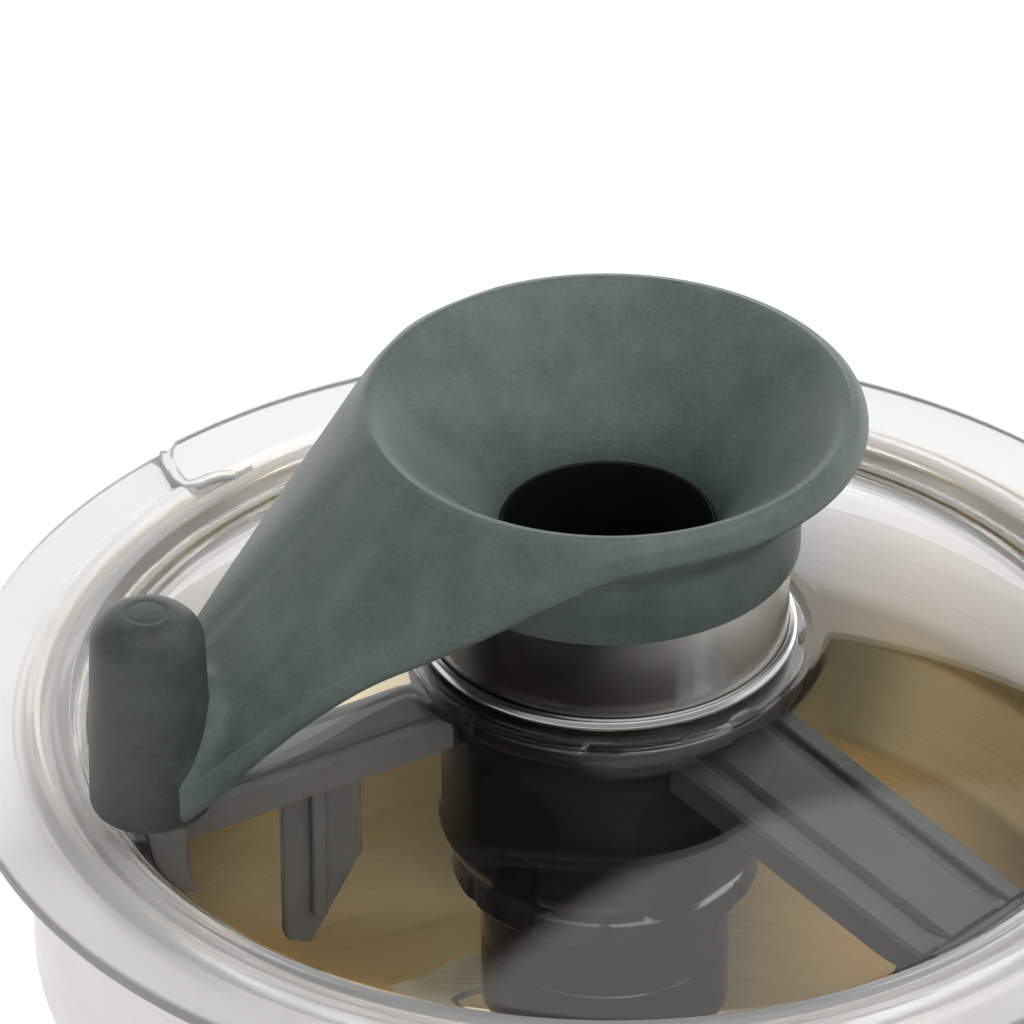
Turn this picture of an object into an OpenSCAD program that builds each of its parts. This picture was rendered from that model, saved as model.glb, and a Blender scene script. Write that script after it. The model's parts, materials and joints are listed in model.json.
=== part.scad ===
// Tabletop cutter mixer: motor base, lift-off steel bowl with a cutter, and a clear domed lid
// whose funnel has a lever that turns a scraper inside the bowl. Millimetres, +Z up, front at -Y.

/* [Base] */
// Width of the motor base
base_w = 280; // [260:1:320]
// Depth of the motor base
base_d = 340; // [320:1:400]
// Height of the deck above the table
deck_h = 186; // [170:1:220]
// Height of the rubber feet
foot_h = 12; // [8:1:20]
// Radius of the rubber feet
foot_r = 16; // [12:0.5:20]
// Wall of the base housing
shell_t = 3.5; // [2.5:0.1:5]
// Radius of the upright corners
corner_r = 34; // [28:1:42]
// Rounding of the top edges
edge_r = 12; // [6:1:16]
// Height of the upright front face
front_h = 74; // [66:1:90]
// Horizontal run of the sloping panel
panel_run = 74; // [64:1:84]
// Distance of the bowl axis behind the middle of the base
axis_back = 32; // [20:1:40]
// Thickness of the base plate
plate_t = 2; // [1.5:0.1:3]

/* [Bowl] */
// Inner radius of the bowl
bowl_r = 96.5; // [92:0.5:99]
// Inner radius of the wide mouth of the bowl
mouth_r = 105.5; // [104.5:0.1:107]
// Wall of the bowl
bowl_t = 1.3; // [1:0.1:2]
// Thickness of the bowl floor
floor_t = 2.5; // [2:0.1:4]
// Inner depth of the bowl
bowl_depth = 165; // [155:1:185]
// Height of the wide mouth
mouth_h = 46; // [40:1:52]
// Height of the conical shoulder below the mouth
shoulder_h = 18; // [12:1:24]
// Radius of the rolled rim
rim_r = 109; // [108:0.5:118]
// Inner radius of the centre tube
tube_r = 14; // [13.2:0.1:15]
// Height of the centre tube above the floor
tube_h = 78; // [70:1:84]
// Reach of the handle from the bowl axis
handle_reach = 140; // [136:1:140]
// Width of the handle
handle_w = 26; // [20:1:32]

/* [Lid] */
// Radius of the lid
lid_r = 120; // [118.5:0.5:126]
// Wall of the lid
lid_t = 3; // [2.4:0.1:3.6]
// Radius where the domed window starts
window_r = 95; // [90:0.5:97]
// Height of the window edge against the rim of the lid
window_z = -1.7; // [-3:0.1:0]
// Height of the collar seat above the rim of the lid
dome_h = 17.4; // [15:0.1:19]
// Height of the raised deck of the lid
deck_rise = 1.7; // [1:0.1:2.5]
// Outer radius of the raised deck
deck_r = 107.5; // [106.5:0.1:110]
// First azimuth of the rear lug
lug_from = 52; // [40:1:70]
// Last azimuth of the rear lug
lug_to = 136; // [120:1:150]
// Outer radius of the satin collar
collar_r = 33.3; // [32.8:0.1:34]
// Wall of the satin collar
collar_t = 2.7; // [2:0.1:3]
// Height of the collar above its seat
collar_h = 28; // [24:0.5:30]

/* [Funnel lever] */
// Radius of the throat of the funnel
throat_r = 19.3; // [17:0.1:20.5]
// Outer radius of the rolled lip
lip_r = 46.8; // [45:0.1:50]
// Radius of the roll of the lip
lip_roll = 3.4; // [2.6:0.1:3.8]
// Height of the lip above the rim of the lid
lip_h = 65.4; // [62:0.1:70]
// Height of the throat above the rim of the lid
throat_h = 40.4; // [38:0.1:44]
// Azimuth of the lever
lever_az = 207; // [0:1:359]
// Distance of the knob from the bowl axis
knob_at = 91.4; // [90:0.2:98]
// Radius of the top of the knob
knob_r = 10.4; // [9:0.1:12]
// Height of the knob
knob_h = 40.5; // [34:0.5:46]
// Clearance under the knob, from the rim of the lid
knob_lift = 5.9; // [5.5:0.1:9]
// Thickness of the lever plate
lever_t = 5.5; // [4:0.1:7]

/* [Scraper and cutter] */
// Width of the two wide scraper arms
arm_w = 28; // [20:1:30]
// Width of the slim scraper arm, which carries the paddle
slim_w = 15; // [12:1:24]
// Azimuth of the slim arm, from the lever
arm_lead = -10; // [-30:1:30]
// Outer radius of the scraper hub
scraper_r = 31; // [29:0.1:32]
// Depth of the scraper hub below the rim of the lid
scraper_drop = 28; // [24:1:29]
// Reach of the wall wipers below the rim of the lid
wiper_drop = 92; // [70:1:100]
// Gap between wipers and bowl
wiper_gap = 0.8; // [0.5:0.1:2]
// Radius of the grip at the top of the cutter hub
grip_r = 28.6; // [27:0.1:30]
// Radius of the cutter hub
hub_r = 23.2; // [22.4:0.1:24]
// Gap between the blade tips and the bowl
blade_gap = 4.5; // [2:0.5:10]
// Thickness of the blades
blade_t = 2; // [1.5:0.1:3]
// Distance between the two blades
blade_step = 34; // [26:1:40]

/* [Motor and drive] */
// Radius of the motor shaft in its bearings
shaft_r = 10; // [8:0.5:11]
// Outer radius of the motor frame
motor_r = 66; // [60:1:72]
// Length of the stator
stator_h = 66; // [50:1:70]
// Outer radius of the bearings
bearing_r = 23.5; // [21:0.5:26]
// Height of the bearings
bearing_h = 14; // [10:0.5:16]
// Circumradius of the six-sided coupling
coupling_r = 11.6; // [10.8:0.1:12.4]
// Number of fan blades
fan_blades = 9; // [5:1:13]

/* [Controls] */
// Radius of the push buttons
button_r = 11; // [9:0.5:13]
// Distance between the push buttons
button_pitch = 40; // [36:1:42]
// Travel of the push buttons
button_travel = 3; // [2:0.5:4]
// Radius of the speed dial
dial_r = 20; // [16:0.5:22]
// Height of the speed dial
dial_h = 16; // [12:0.5:20]

/* [Clearances] */
// Gap between pieces that are taken apart by hand
loose = 0.3; // [0.2:0.05:0.5]
// Radial clearance of running fits
run = 0.05; // [0.02:0.01:0.09]
// Clearance of screws and pressed-in pieces
snug = 0.1; // [0.05:0.01:0.2]

/* [Hidden] */
$fn = 96;
cut = 1;

// Heights that stack up from the table to the lid
plate_z = foot_h;
housing_z = plate_z + plate_t;
seat_t = 5;
boss_h = 6;
bowl_base_z = deck_h + seat_t + boss_h + loose;
floor_z = bowl_base_z + floor_t;
rim_z = floor_z + bowl_depth;
lid_z = rim_z + loose + lid_t;
tube_top = floor_z + tube_h;

// Sloping panel of the base: a frame on its face, with local Z pointing out of it
panel_rise = deck_h - front_h;
panel_len = norm([panel_run, panel_rise]);
panel_tilt = atan2(panel_rise, panel_run);
torus_r = corner_r - edge_r;
panel_lead = torus_r * sin(panel_tilt) + edge_r;
panel_y = -base_d / 2 + corner_r + panel_run / 2 - panel_lead * sin(panel_tilt);
panel_z = (front_h + deck_h) / 2 - edge_r + panel_lead * cos(panel_tilt);
panel_edge = 4;
panel_w = base_w - 2 * corner_r - 2 * panel_edge;
panel_h = panel_len - 2 * edge_r - 3.5 * panel_edge;
panel_t = 2;
panel_under = -shell_t - snug;
panel_corner = 8;
panel_screw_in = 7;

// Controls on the panel: the dial at its left, three push buttons at its right
control_margin = 17;
bezel_w = 3;
bezel_t = 3;
bezel_round = 1;
buttons = 3;
button_x0 = panel_w / 2 - control_margin - button_r - 2 * button_pitch;
dial_x = -panel_w / 2 + control_margin + dial_r;
button_up = 6;
button_len = 16;
button_round = 2;
button_rest = 0.8;
block_w = 26;
block_h = 14;
block_wall = 3;
block_top = panel_t - button_len + button_up - button_travel - button_rest;
pot_r = 12;
pot_h = 12;
pot_floor = 2;
spindle_r = 3;
spindle_rest = 1;
bush_wall = 2;
dial_cap = 4;
dial_skirt = 3;

// Control board on the floor of the base
board_w = 150;
board_d = 60;
board_t = 1.6;
board_in = 6;
board_post = 14;
board_gap = 10;
filter_w = 32;
filter_h = 26;
capacitor_x = 64;
capacitor_r = 10;
capacitor_h = 30;
driver_w = 30;
driver_h = 14;

// Places of the feet and the screws through them
foot_x = base_w / 2 - corner_r;
foot_y = base_d / 2 - corner_r;
board_y = -foot_y + board_gap;
foot_round = 2;
foot_sink = 5;
screw_r = 2.5;
screw_bite = 20;
head_r = 5;
head_h = 3;
post_r = 9;

// Cord inlet at the back and air slots in the sides and the base plate
inlet_x = -70;
inlet_up = 36;
inlet_z = housing_z + inlet_up;
inlet_r = 11;
inlet_bore = 4.5;
inlet_nut = 5;
vents = 8;
vent_w = 5;
vent_h = 40;
vent_pitch = 11;
vent_y0 = axis_back - vents * vent_pitch / 2;
vent_up = 20;
vent_z = housing_z + vent_up;
plate_slots = 7;
plate_slot_w = 6;
plate_slot_l = 46;

// Bowl seat with keys that stop the bowl turning
seat_r = 92;
seat_boss_r = 60;
keys = 3;
key_w = 10;
key_out = 4;
key_root = 2;
bowl_foot_w = 20;

// Motor stack under the deck
mount_t = 6;
mount_edge = 14;
mount_z = deck_h - shell_t - mount_t;
mount_r = motor_r + mount_edge;
bearing_wall = 6;
bearing_lip = 2;
shaft_gap = 3;
shaft_up = 8;
shaft_low_z = housing_z + shaft_up;
fan_room = 24;
fan_gap = 4;
fan_t = 2;
fan_hub = 6;
fan_in = 10;
frame_t = 4;
frame_floor_z = shaft_low_z + fan_room;
frame_holes = 6;
frame_hole_r = 7;
frame_hole_out = 18;
frame_hole_at = bearing_r + frame_hole_out;
stator_r = motor_r - frame_t - snug;
rotor_r = 38;
rotor_over = 3;
air_gap = 0.5;
stator_z = (frame_floor_z + mount_z) / 2 - stator_h / 2;
upper_bearing_z = mount_z - bearing_h;
lower_bearing_z = frame_floor_z + frame_t;
seal_r = 17;
seal_up = 2;
coupling_wall = 1.8;
coupling_h = 22;
coupling_low = tube_top - 6;
coupling_cap = 10;
drive_r = min(shaft_r - 1, coupling_r * cos(30) - coupling_wall);
shaft_top_z = coupling_low + coupling_cap;

// Lid: a sphere through the window edge and the collar seat
seat_out_r = collar_r + 4;
seat_ledge = 1.2;
seat_under = 0.6;
dome_drop = dome_h - window_z;
dome_down = ((window_r * window_r - seat_out_r * seat_out_r) / dome_drop - dome_drop) / 2;
dome_r = norm([window_r, dome_down]);
dome_cz = window_z - dome_down;
skirt_r = mouth_r - 3;
skirt_in = skirt_r - lid_t;
skirt_drop = 14;
seal_h = 4;
seal_drop = 10;
seal_z = -lid_t - seal_drop;
seal_bead = 1;
seal_groove = 0.8;
groove_in = skirt_r - 1;
groove_out = deck_r - 2.5;
lug_steps = 4;
collar_in = collar_r - collar_t;
collar_ring_h = 2;
collar_ring_w = 1.9;
collar_low = dome_h - lid_t - 5.5;
collar_top = dome_h + collar_h;
spigot_r = collar_r - seat_ledge - snug;
nut_h = 4;
nut_r = collar_r + 3.6;
nut_notches = 8;
notch_w = 6;
notch_in = 1.6;

// Funnel: neck over the collar, guide inside it, throat tube down to the scraper
funnel_wall = 3.2;
neck_in = collar_r + loose;
neck_r = neck_in + 1.5;
neck_over = 9;
neck_low = collar_top - neck_over;
slot_top = collar_top + loose;
guide_r = collar_in - run;
guide_in = guide_r - 2.4;
guide_low = dome_h + 3;
tube_out = throat_r + 3;
funnel_low = -10;
lip_z = lip_h - lip_roll;
lip_c = lip_r - lip_roll;
lip_join = [lip_c, lip_z] + (lip_roll - 0.1) * [cos(140), sin(140)];
ring_r = 0.8;
ring_up = 8;
ring_z = guide_low + ring_up;

// Lever plate: rods across it, from under the lip out to the knob
lever_from = 14;
lever_parts = 5;
lever_rod = lever_t / 2;
knob_foot = 0.8;
knob_edge = 5;
end_r = knob_r + knob_foot;
end_top = knob_lift + lever_t + 0.5;

// Scraper: hub on the throat tube, arms that follow the dome, wipers on their ends
arms = 3;
scraper_top = collar_low - loose;
scraper_in = tube_out + snug;
scraper_wall = 3.5;
arm_t = 4;
arm_from = scraper_r - 3;
arm_to = bowl_r - wiper_gap - 6;
arm_hi = scraper_top - 1;
arm_lo = -5.5;
arm_slope = atan2(arm_hi - arm_lo, arm_to - arm_from);
arm_l = norm([arm_to - arm_from, arm_hi - arm_lo]) - arm_t * tan(arm_slope);
rib_h = 3;
rib_t = 3;
paddle_at = 47;
paddle_w = 15;
paddle_drop = 43;
paddle_cut = 24;
paddle_tip = 5;
paddle_rib = 2;
paddle_top = arm_hi - (paddle_at + paddle_w - arm_from) * tan(arm_slope) - 0.2;
post_w = 8;
post_drop = 16;
post_low = arm_lo - post_drop;
wiper_w = 24;
wiper_t = 3;
wiper_lip = 13;
slots = 6;
slot_w = 10;
slot_h = 10;

// Cutter: hub over the centre tube, blades stacked below a shoulder
bush_r = tube_r + bowl_t + 2.6;
bush_h = 12;
blade_r = bowl_r - blade_gap;
blade_bite = 15;
hub_low = floor_z + 5;
nut_low = hub_low + 1;
blade_nut_h = 5;
blade_nut_w = 2;
spanner_r = 3;
lower_blade_z = nut_low + blade_nut_h;
upper_blade_z = lower_blade_z + blade_t + blade_step;
shoulder_z = upper_blade_z + blade_t;
shoulder_t = 5;
spacer_in = hub_r + snug;
spacer_out = hub_r + 4;
grip_top = lid_z - scraper_drop - 2;
grip_h = 20;
grip_low = grip_top - grip_h;
grip_round = 6;
grip_lobes = 12;
lobe_r = 4;
lobe_out = 1.8;

// Bowl handle
handle_t = 15;
handle_edge = 4;
handle_low = floor_z + 8;
handle_high = rim_z - mouth_h / 2;
handle_dip = 4;
handle_rise = 12;
grip_x = handle_reach - handle_t / 2;
bolt_head = 5;

module at_axis() {
  translate([0, axis_back, 0]) children();
}

module at_lid() {
  translate([0, axis_back, lid_z]) children();
}

module at_panel(x, up) {
  translate([0, panel_y, panel_z])
    rotate([panel_tilt, 0, 0])
      translate([x, 0, up]) children();
}

module tube(r_out, r_in, z0, z1) {
  difference() {
    translate([0, 0, z0]) cylinder(r = r_out, h = z1 - z0);
    translate([0, 0, z0 - cut]) cylinder(r = r_in, h = z1 - z0 + 2 * cut);
  }
}

module at_feet() {
  for (x = [-foot_x, foot_x], y = [-foot_y, foot_y])
    translate([x, y, 0]) children();
}

// One rounded corner of the housing, drawn in by the radius of its ring
module corner_ring(x, y, z, r) {
  translate([x, y, z])
    rotate_extrude($fn = 32) translate([torus_r, 0]) circle(r = r, $fn = 24);
}

module base_hull(inset, low) {
  r = edge_r - inset;
  hull() {
    for (x = [-foot_x, foot_x]) {
      corner_ring(x, foot_y, deck_h - edge_r, r);
      corner_ring(x, -foot_y + panel_run, deck_h - edge_r, r);
      corner_ring(x, -foot_y, front_h - edge_r, r);
      for (y = [-foot_y, foot_y])
        translate([x, y, low]) cylinder(r = torus_r + r, h = cut, $fn = 32);
    }
  }
}

module base_housing() {
  panel_in = -shell_t - cut;
  color("gainsboro") difference() {
    union() {
      difference() {
        base_hull(0, housing_z);
        base_hull(shell_t, housing_z - cut);
      }
      intersection() {
        at_feet() translate([0, 0, housing_z]) cylinder(r = post_r, h = deck_h);
        base_hull(shell_t / 2, housing_z - cut);
      }
    }
    at_feet() translate([0, 0, housing_z - cut]) cylinder(r = screw_r + snug, h = 1.5 * screw_bite);
    at_axis() translate([0, 0, deck_h - shell_t - cut])
      cylinder(r = seal_r + snug, h = shell_t + 2 * cut);
    for (i = [0:buttons - 1])
      at_panel(button_x0 + i * button_pitch, panel_in)
        cylinder(r = button_r + loose, h = shell_t + 2 * cut);
    at_panel(dial_x, panel_in) cylinder(r = spindle_r + bush_wall + loose, h = shell_t + 2 * cut);
    translate([inlet_x, base_d / 2 - shell_t - cut, inlet_z])
      rotate([-90, 0, 0]) cylinder(r = inlet_r, h = shell_t + 2 * cut);
    for (side = [-1, 1], i = [0:vents - 1])
      translate([side * base_w / 2 - shell_t - cut, vent_y0 + i * vent_pitch, vent_z])
        cube([2 * (shell_t + cut), vent_w, vent_h]);
  }
}

module plate_outline(inset) {
  r = corner_r - inset;
  for (x = [-foot_x, foot_x], y = [-foot_y, foot_y])
    translate([x, y]) circle(r = r);
  square([2 * foot_x + 2 * r, 2 * foot_y], center = true);
  square([2 * foot_x, 2 * foot_y + 2 * r], center = true);
}

module base_plate() {
  middle = (plate_slots - 1) / 2;
  color("silver") difference() {
    translate([0, 0, plate_z]) linear_extrude(plate_t) plate_outline(shell_t);
    at_feet() translate([0, 0, plate_z - cut]) cylinder(r = screw_r + snug, h = plate_t + 2 * cut);
    at_axis() for (i = [0:plate_slots - 1])
      translate([(i - middle) * 2 * plate_slot_w - plate_slot_w / 2, -plate_slot_l / 2, plate_z - cut])
        cube([plate_slot_w, plate_slot_l, plate_t + 2 * cut]);
  }
}

module feet() {
  color("dimgray") at_feet() difference() {
    rotate_extrude() {
      square([foot_r - foot_round, foot_h]);
      translate([0, foot_round]) square([foot_r, foot_h - foot_round]);
      translate([foot_r - foot_round, foot_round]) circle(r = foot_round);
    }
    translate([0, 0, -cut]) cylinder(r = screw_r + snug, h = foot_h + 2 * cut);
    translate([0, 0, -cut]) cylinder(r = head_r + loose, h = foot_sink + cut);
  }
}

module base_screws() {
  screw_l = foot_h - foot_sink + plate_t + screw_bite;
  color("lightgray") at_feet() {
    translate([0, 0, foot_sink]) cylinder(r = screw_r, h = screw_l);
    translate([0, 0, foot_sink - head_h]) cylinder(r = head_r, h = head_h);
  }
}

module key_ribs(r, w, z0, z1) {
  for (i = [0:keys - 1])
    rotate([0, 0, i * 360 / keys])
      translate([r - key_root, -w / 2, z0]) cube([key_out + key_root, w, z1 - z0]);
}

module bowl_seat() {
  top = deck_h + seat_t + boss_h;
  color("darkgray") at_axis() difference() {
    union() {
      translate([0, 0, deck_h]) cylinder(r = seat_r, h = seat_t);
      translate([0, 0, deck_h]) cylinder(r = seat_boss_r, h = seat_t + boss_h);
      key_ribs(seat_boss_r, key_w, deck_h + seat_t, top);
    }
    translate([0, 0, deck_h - cut]) cylinder(r = seal_r + snug, h = seat_t + boss_h + 2 * cut);
  }
}

module motor_mount() {
  cup_low = upper_bearing_z - bearing_lip;
  color("silver") at_axis() difference() {
    union() {
      translate([0, 0, mount_z]) cylinder(r = mount_r, h = mount_t);
      translate([0, 0, cup_low]) cylinder(r = bearing_r + bearing_wall, h = mount_z - cup_low + cut);
    }
    translate([0, 0, upper_bearing_z]) cylinder(r = bearing_r + snug, h = bearing_h);
    translate([0, 0, cup_low - cut])
      cylinder(r = shaft_r + shaft_gap, h = mount_z + mount_t - cup_low + 2 * cut);
  }
}

module motor_frame() {
  color("slategray") at_axis() difference() {
    union() {
      tube(motor_r, motor_r - frame_t, frame_floor_z, mount_z);
      translate([0, 0, frame_floor_z]) cylinder(r = motor_r, h = frame_t);
      translate([0, 0, frame_floor_z]) cylinder(r = bearing_r + bearing_wall, h = frame_t + bearing_h);
    }
    translate([0, 0, lower_bearing_z]) cylinder(r = bearing_r + snug, h = bearing_h + cut);
    translate([0, 0, frame_floor_z - cut]) cylinder(r = shaft_r + shaft_gap, h = frame_t + 2 * cut);
    for (i = [0:frame_holes - 1]) rotate([0, 0, i * 360 / frame_holes])
      translate([frame_hole_at, 0, frame_floor_z - cut])
        cylinder(r = frame_hole_r, h = frame_t + 2 * cut);
  }
}

module motor_stator() {
  color("peru") at_axis() tube(stator_r, rotor_r + air_gap, stator_z, stator_z + stator_h);
}

module bearing(z) {
  at_axis() tube(bearing_r, shaft_r + run, z, z + bearing_h);
}

module upper_bearing() {
  color("lightsteelblue") bearing(upper_bearing_z);
}

module lower_bearing() {
  color("lightsteelblue") bearing(lower_bearing_z);
}

module shaft_seal() {
  color("black") at_axis() tube(seal_r, drive_r + run, deck_h - shell_t, deck_h + seat_t + seal_up);
}

module motor_shaft() {
  step_z = upper_bearing_z + bearing_h + bearing_lip;
  color("lightgray") at_axis() {
    translate([0, 0, shaft_low_z]) cylinder(r = shaft_r, h = step_z - shaft_low_z);
    translate([0, 0, step_z - cut]) cylinder(r = drive_r, h = shaft_top_z - step_z + cut);
  }
}

module rotor_core() {
  color("gray") at_axis()
    tube(rotor_r, shaft_r + snug, stator_z - rotor_over, stator_z + stator_h + rotor_over);
}

module cooling_fan() {
  fan_z = shaft_low_z + fan_t;
  fan_h = frame_floor_z - fan_gap - fan_z;
  fan_r = motor_r - fan_in;
  hub = shaft_r + fan_hub;
  color("dimgray") at_axis() difference() {
    union() {
      translate([0, 0, fan_z]) cylinder(r = hub, h = fan_h);
      translate([0, 0, fan_z + fan_h - fan_t]) cylinder(r = fan_r, h = fan_t);
      for (i = [0:fan_blades - 1]) rotate([0, 0, i * 360 / fan_blades])
        translate([hub - fan_t, -fan_t / 2, fan_z + fan_t])
          cube([fan_r - hub, fan_t, fan_h - 1.5 * fan_t]);
    }
    translate([0, 0, fan_z - cut]) cylinder(r = shaft_r + snug, h = fan_h + 2 * cut);
  }
}

module drive_coupling() {
  color("silver") at_axis() difference() {
    translate([0, 0, coupling_low]) cylinder(r = coupling_r, h = coupling_h, $fn = 6);
    translate([0, 0, coupling_low - cut]) cylinder(r = drive_r + snug, h = coupling_cap + cut);
  }
}

module panel_hole(x, r) {
  at_panel(x, -cut) cylinder(r = r, h = panel_t + 2 * cut);
}

module control_panel() {
  r = panel_corner;
  color("gray") difference() {
    at_panel(0, 0) linear_extrude(panel_t) {
      for (x = [-1, 1], y = [-1, 1])
        translate([x * (panel_w / 2 - r), y * (panel_h / 2 - r)]) circle(r = r);
      square([panel_w, panel_h - 2 * r], center = true);
      square([panel_w - 2 * r, panel_h], center = true);
    }
    for (i = [0:buttons - 1]) panel_hole(button_x0 + i * button_pitch, button_r + loose);
    panel_hole(dial_x, spindle_r + bush_wall + loose);
  }
}

module panel_screws() {
  cap_r = 3.5;
  cap_h = 1.6;
  key_r = 1.8;
  color("lightgray") for (x = [-1, 1], y = [-1, 1])
    at_panel(x * (panel_w / 2 - panel_screw_in), panel_t)
      translate([0, y * (panel_h / 2 - panel_screw_in), 0]) difference() {
        cylinder(r = cap_r, h = cap_h);
        translate([0, 0, cap_h / 2]) cylinder(r = key_r, h = cap_h, $fn = 6);
      }
}

module button_bezels() {
  flat = bezel_w - bezel_round;
  color("silver") for (i = [0:buttons - 1])
    at_panel(button_x0 + i * button_pitch, panel_t)
      rotate_extrude() translate([button_r + loose, 0]) {
        square([bezel_w, bezel_t - bezel_round]);
        square([flat, bezel_t]);
        translate([flat, bezel_t - bezel_round]) circle(r = bezel_round);
      }
}

module switch_blocks() {
  low = block_top - block_h;
  color("black") for (i = [0:buttons - 1])
    at_panel(button_x0 + i * button_pitch, 0) {
      translate([-block_w / 2, -block_w / 2, low]) cube([block_w, block_w, block_h]);
      for (side = [-1, 1])
        translate([side * (block_w + block_wall) / 2 - block_wall / 2, -block_w / 2, low])
          cube([block_wall, block_w, panel_under - low]);
    }
}

module button(i, shade) {
  flat = button_r - button_round;
  color(shade) at_panel(button_x0 + i * button_pitch, panel_t + button_up)
    rotate_extrude() {
      translate([0, -button_len]) square([button_r, button_len - button_round]);
      translate([0, -button_round - cut]) square([flat, button_round + cut]);
      translate([flat, -button_round]) circle(r = button_round);
    }
}

module start_button() {
  button(0, "seagreen");
}

module stop_button() {
  button(1, "firebrick");
}

module pulse_button() {
  button(2, "dimgray");
}

module speed_control() {
  low = panel_under - pot_h;
  color("steelblue") at_panel(dial_x, 0) difference() {
    union() {
      translate([0, 0, low]) cylinder(r = pot_r, h = pot_h);
      translate([0, 0, low]) cylinder(r = spindle_r + bush_wall, h = panel_t - low);
    }
    translate([0, 0, low + pot_floor]) cylinder(r = spindle_r + run, h = panel_t - low);
  }
}

module speed_spindle() {
  low = panel_under - pot_h + pot_floor + spindle_rest;
  color("lightgray") at_panel(dial_x, low)
    cylinder(r = spindle_r, h = panel_t + dial_h - dial_cap - low);
}

module speed_dial() {
  grips = 18;
  grip_r = 1.2;
  body_r = dial_r - dial_skirt;
  mark_w = 1.6;
  mark_l = 9;
  mark_deep = 0.8;
  color("dimgray") at_panel(dial_x, panel_t + loose) difference() {
    union() {
      cylinder(r = dial_r, h = dial_skirt);
      cylinder(r = body_r, h = dial_h - 1);
      cylinder(r = body_r - 1, h = dial_h);
      for (i = [0:grips - 1]) rotate([0, 0, i * 360 / grips])
        translate([body_r, 0, 0]) cylinder(r = grip_r, h = dial_h - 2, $fn = 24);
    }
    translate([0, 0, -cut]) cylinder(r = spindle_r + snug, h = dial_h - dial_cap + cut);
    translate([-mark_w / 2, body_r - mark_l, dial_h - mark_deep]) cube([mark_w, mark_l, 2 * mark_deep]);
  }
}

// Control board on four posts, with a filter, two capacitors and a driver block
module circuit_board() {
  color("darkgreen") translate([-board_w / 2, board_y, housing_z]) {
    translate([0, 0, board_post]) cube([board_w, board_d, board_t]);
    for (x = [board_in, board_w - board_in], y = [board_in, board_d - board_in])
      translate([x, y, 0]) cylinder(r = board_in / 2, h = board_post + board_t / 2);
    translate([2 * board_in, board_post, board_post]) cube([filter_w, filter_w, filter_h]);
    for (i = [0, 1])
      translate([capacitor_x + 2.4 * i * capacitor_r, board_d / 2, board_post])
        cylinder(r = capacitor_r, h = capacitor_h);
    translate([board_w - 2 * board_in - driver_w, board_post, board_post])
      cube([driver_w, driver_w, driver_h]);
  }
}

module power_inlet() {
  low = -shell_t - inlet_nut;
  color("black") translate([inlet_x, base_d / 2, inlet_z]) rotate([-90, 0, 0]) difference() {
    union() {
      translate([0, 0, low]) cylinder(r = inlet_r - snug, h = -low);
      translate([0, 0, low]) cylinder(r = inlet_r + block_wall, h = inlet_nut, $fn = 6);
    }
    translate([0, 0, low - cut]) cylinder(r = inlet_bore, h = 2 * cut - low);
  }
}

module bowl_section() {
  low_z = rim_z - mouth_h - shoulder_h;
  high_z = rim_z - mouth_h;
  wall_r = bowl_r + bowl_t;
  lip_at = rim_r - bowl_t;
  translate([tube_r, bowl_base_z]) square([wall_r - tube_r, floor_t]);
  translate([tube_r, bowl_base_z]) square([bowl_t, tube_top - bowl_base_z]);
  translate([bowl_r, bowl_base_z]) square([bowl_t, low_z - bowl_base_z]);
  polygon([[bowl_r, low_z], [wall_r, low_z], [mouth_r + bowl_t, high_z], [mouth_r, high_z]]);
  translate([mouth_r, high_z]) square([bowl_t, mouth_h]);
  translate([mouth_r, rim_z - bowl_t]) square([lip_at - mouth_r, bowl_t]);
  translate([lip_at, rim_z - bowl_t]) circle(r = bowl_t, $fn = 32);
}

module bowl() {
  color("silver") at_axis() rotate_extrude($fn = 180) bowl_section();
}

module bowl_foot() {
  low = deck_h + seat_t + loose;
  in_r = seat_boss_r + loose;
  color("dimgray") at_axis() difference() {
    tube(in_r + bowl_foot_w, in_r, low, bowl_base_z);
    key_ribs(in_r, key_w + 2 * loose, low - cut, bowl_base_z + cut);
  }
}

module handle_knuckle(x, z, r) {
  translate([x, 0, z]) rotate([90, 0, 0]) {
    cylinder(r = r - handle_edge, h = handle_w, center = true, $fn = 32);
    cylinder(r = r, h = handle_w - 2 * handle_edge, center = true, $fn = 32);
  }
}

module bowl_handle() {
  r = handle_t / 2;
  top_x = mouth_r + bowl_t;
  low_x = bowl_r + bowl_t;
  bend_hi = handle_high - handle_dip;
  bend_lo = handle_low + handle_rise;
  color("dimgray") at_axis() difference() {
    union() {
      hull() {
        handle_knuckle(top_x, handle_high, r);
        handle_knuckle(grip_x, bend_hi, r);
      }
      hull() {
        handle_knuckle(grip_x, bend_hi, r);
        handle_knuckle(grip_x, bend_lo, r);
      }
      hull() {
        handle_knuckle(grip_x, bend_lo, r);
        handle_knuckle(low_x, handle_low + r, r);
      }
    }
    translate([0, 0, handle_high - handle_t])
      cylinder(r = top_x + snug, h = 2 * handle_t, $fn = 180);
    translate([0, 0, handle_low - handle_t]) cylinder(r = low_x + snug, h = 4 * handle_t, $fn = 180);
    handle_bolt(top_x - cut, handle_high, snug, handle_t);
    handle_bolt(low_x - cut, handle_low + r, snug, handle_t);
  }
}

// Bolt from the bowl wall out into the handle; over is how far its head runs on outwards
module handle_bolt(from, z, gap, over) {
  head_x = handle_reach - 2 * bolt_head;
  translate([from, 0, z]) rotate([0, 90, 0]) cylinder(r = screw_r + gap, h = head_x - from + 1);
  translate([head_x, 0, z]) rotate([0, 90, 0]) cylinder(r = head_r + gap, h = bolt_head + over);
}

module handle_bolts() {
  off = bowl_t + 2 * snug;
  color("lightgray") at_axis() {
    handle_bolt(mouth_r + off, handle_high, 0, 0);
    handle_bolt(bowl_r + off, handle_low + handle_t / 2, 0, 0);
  }
}

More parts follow.
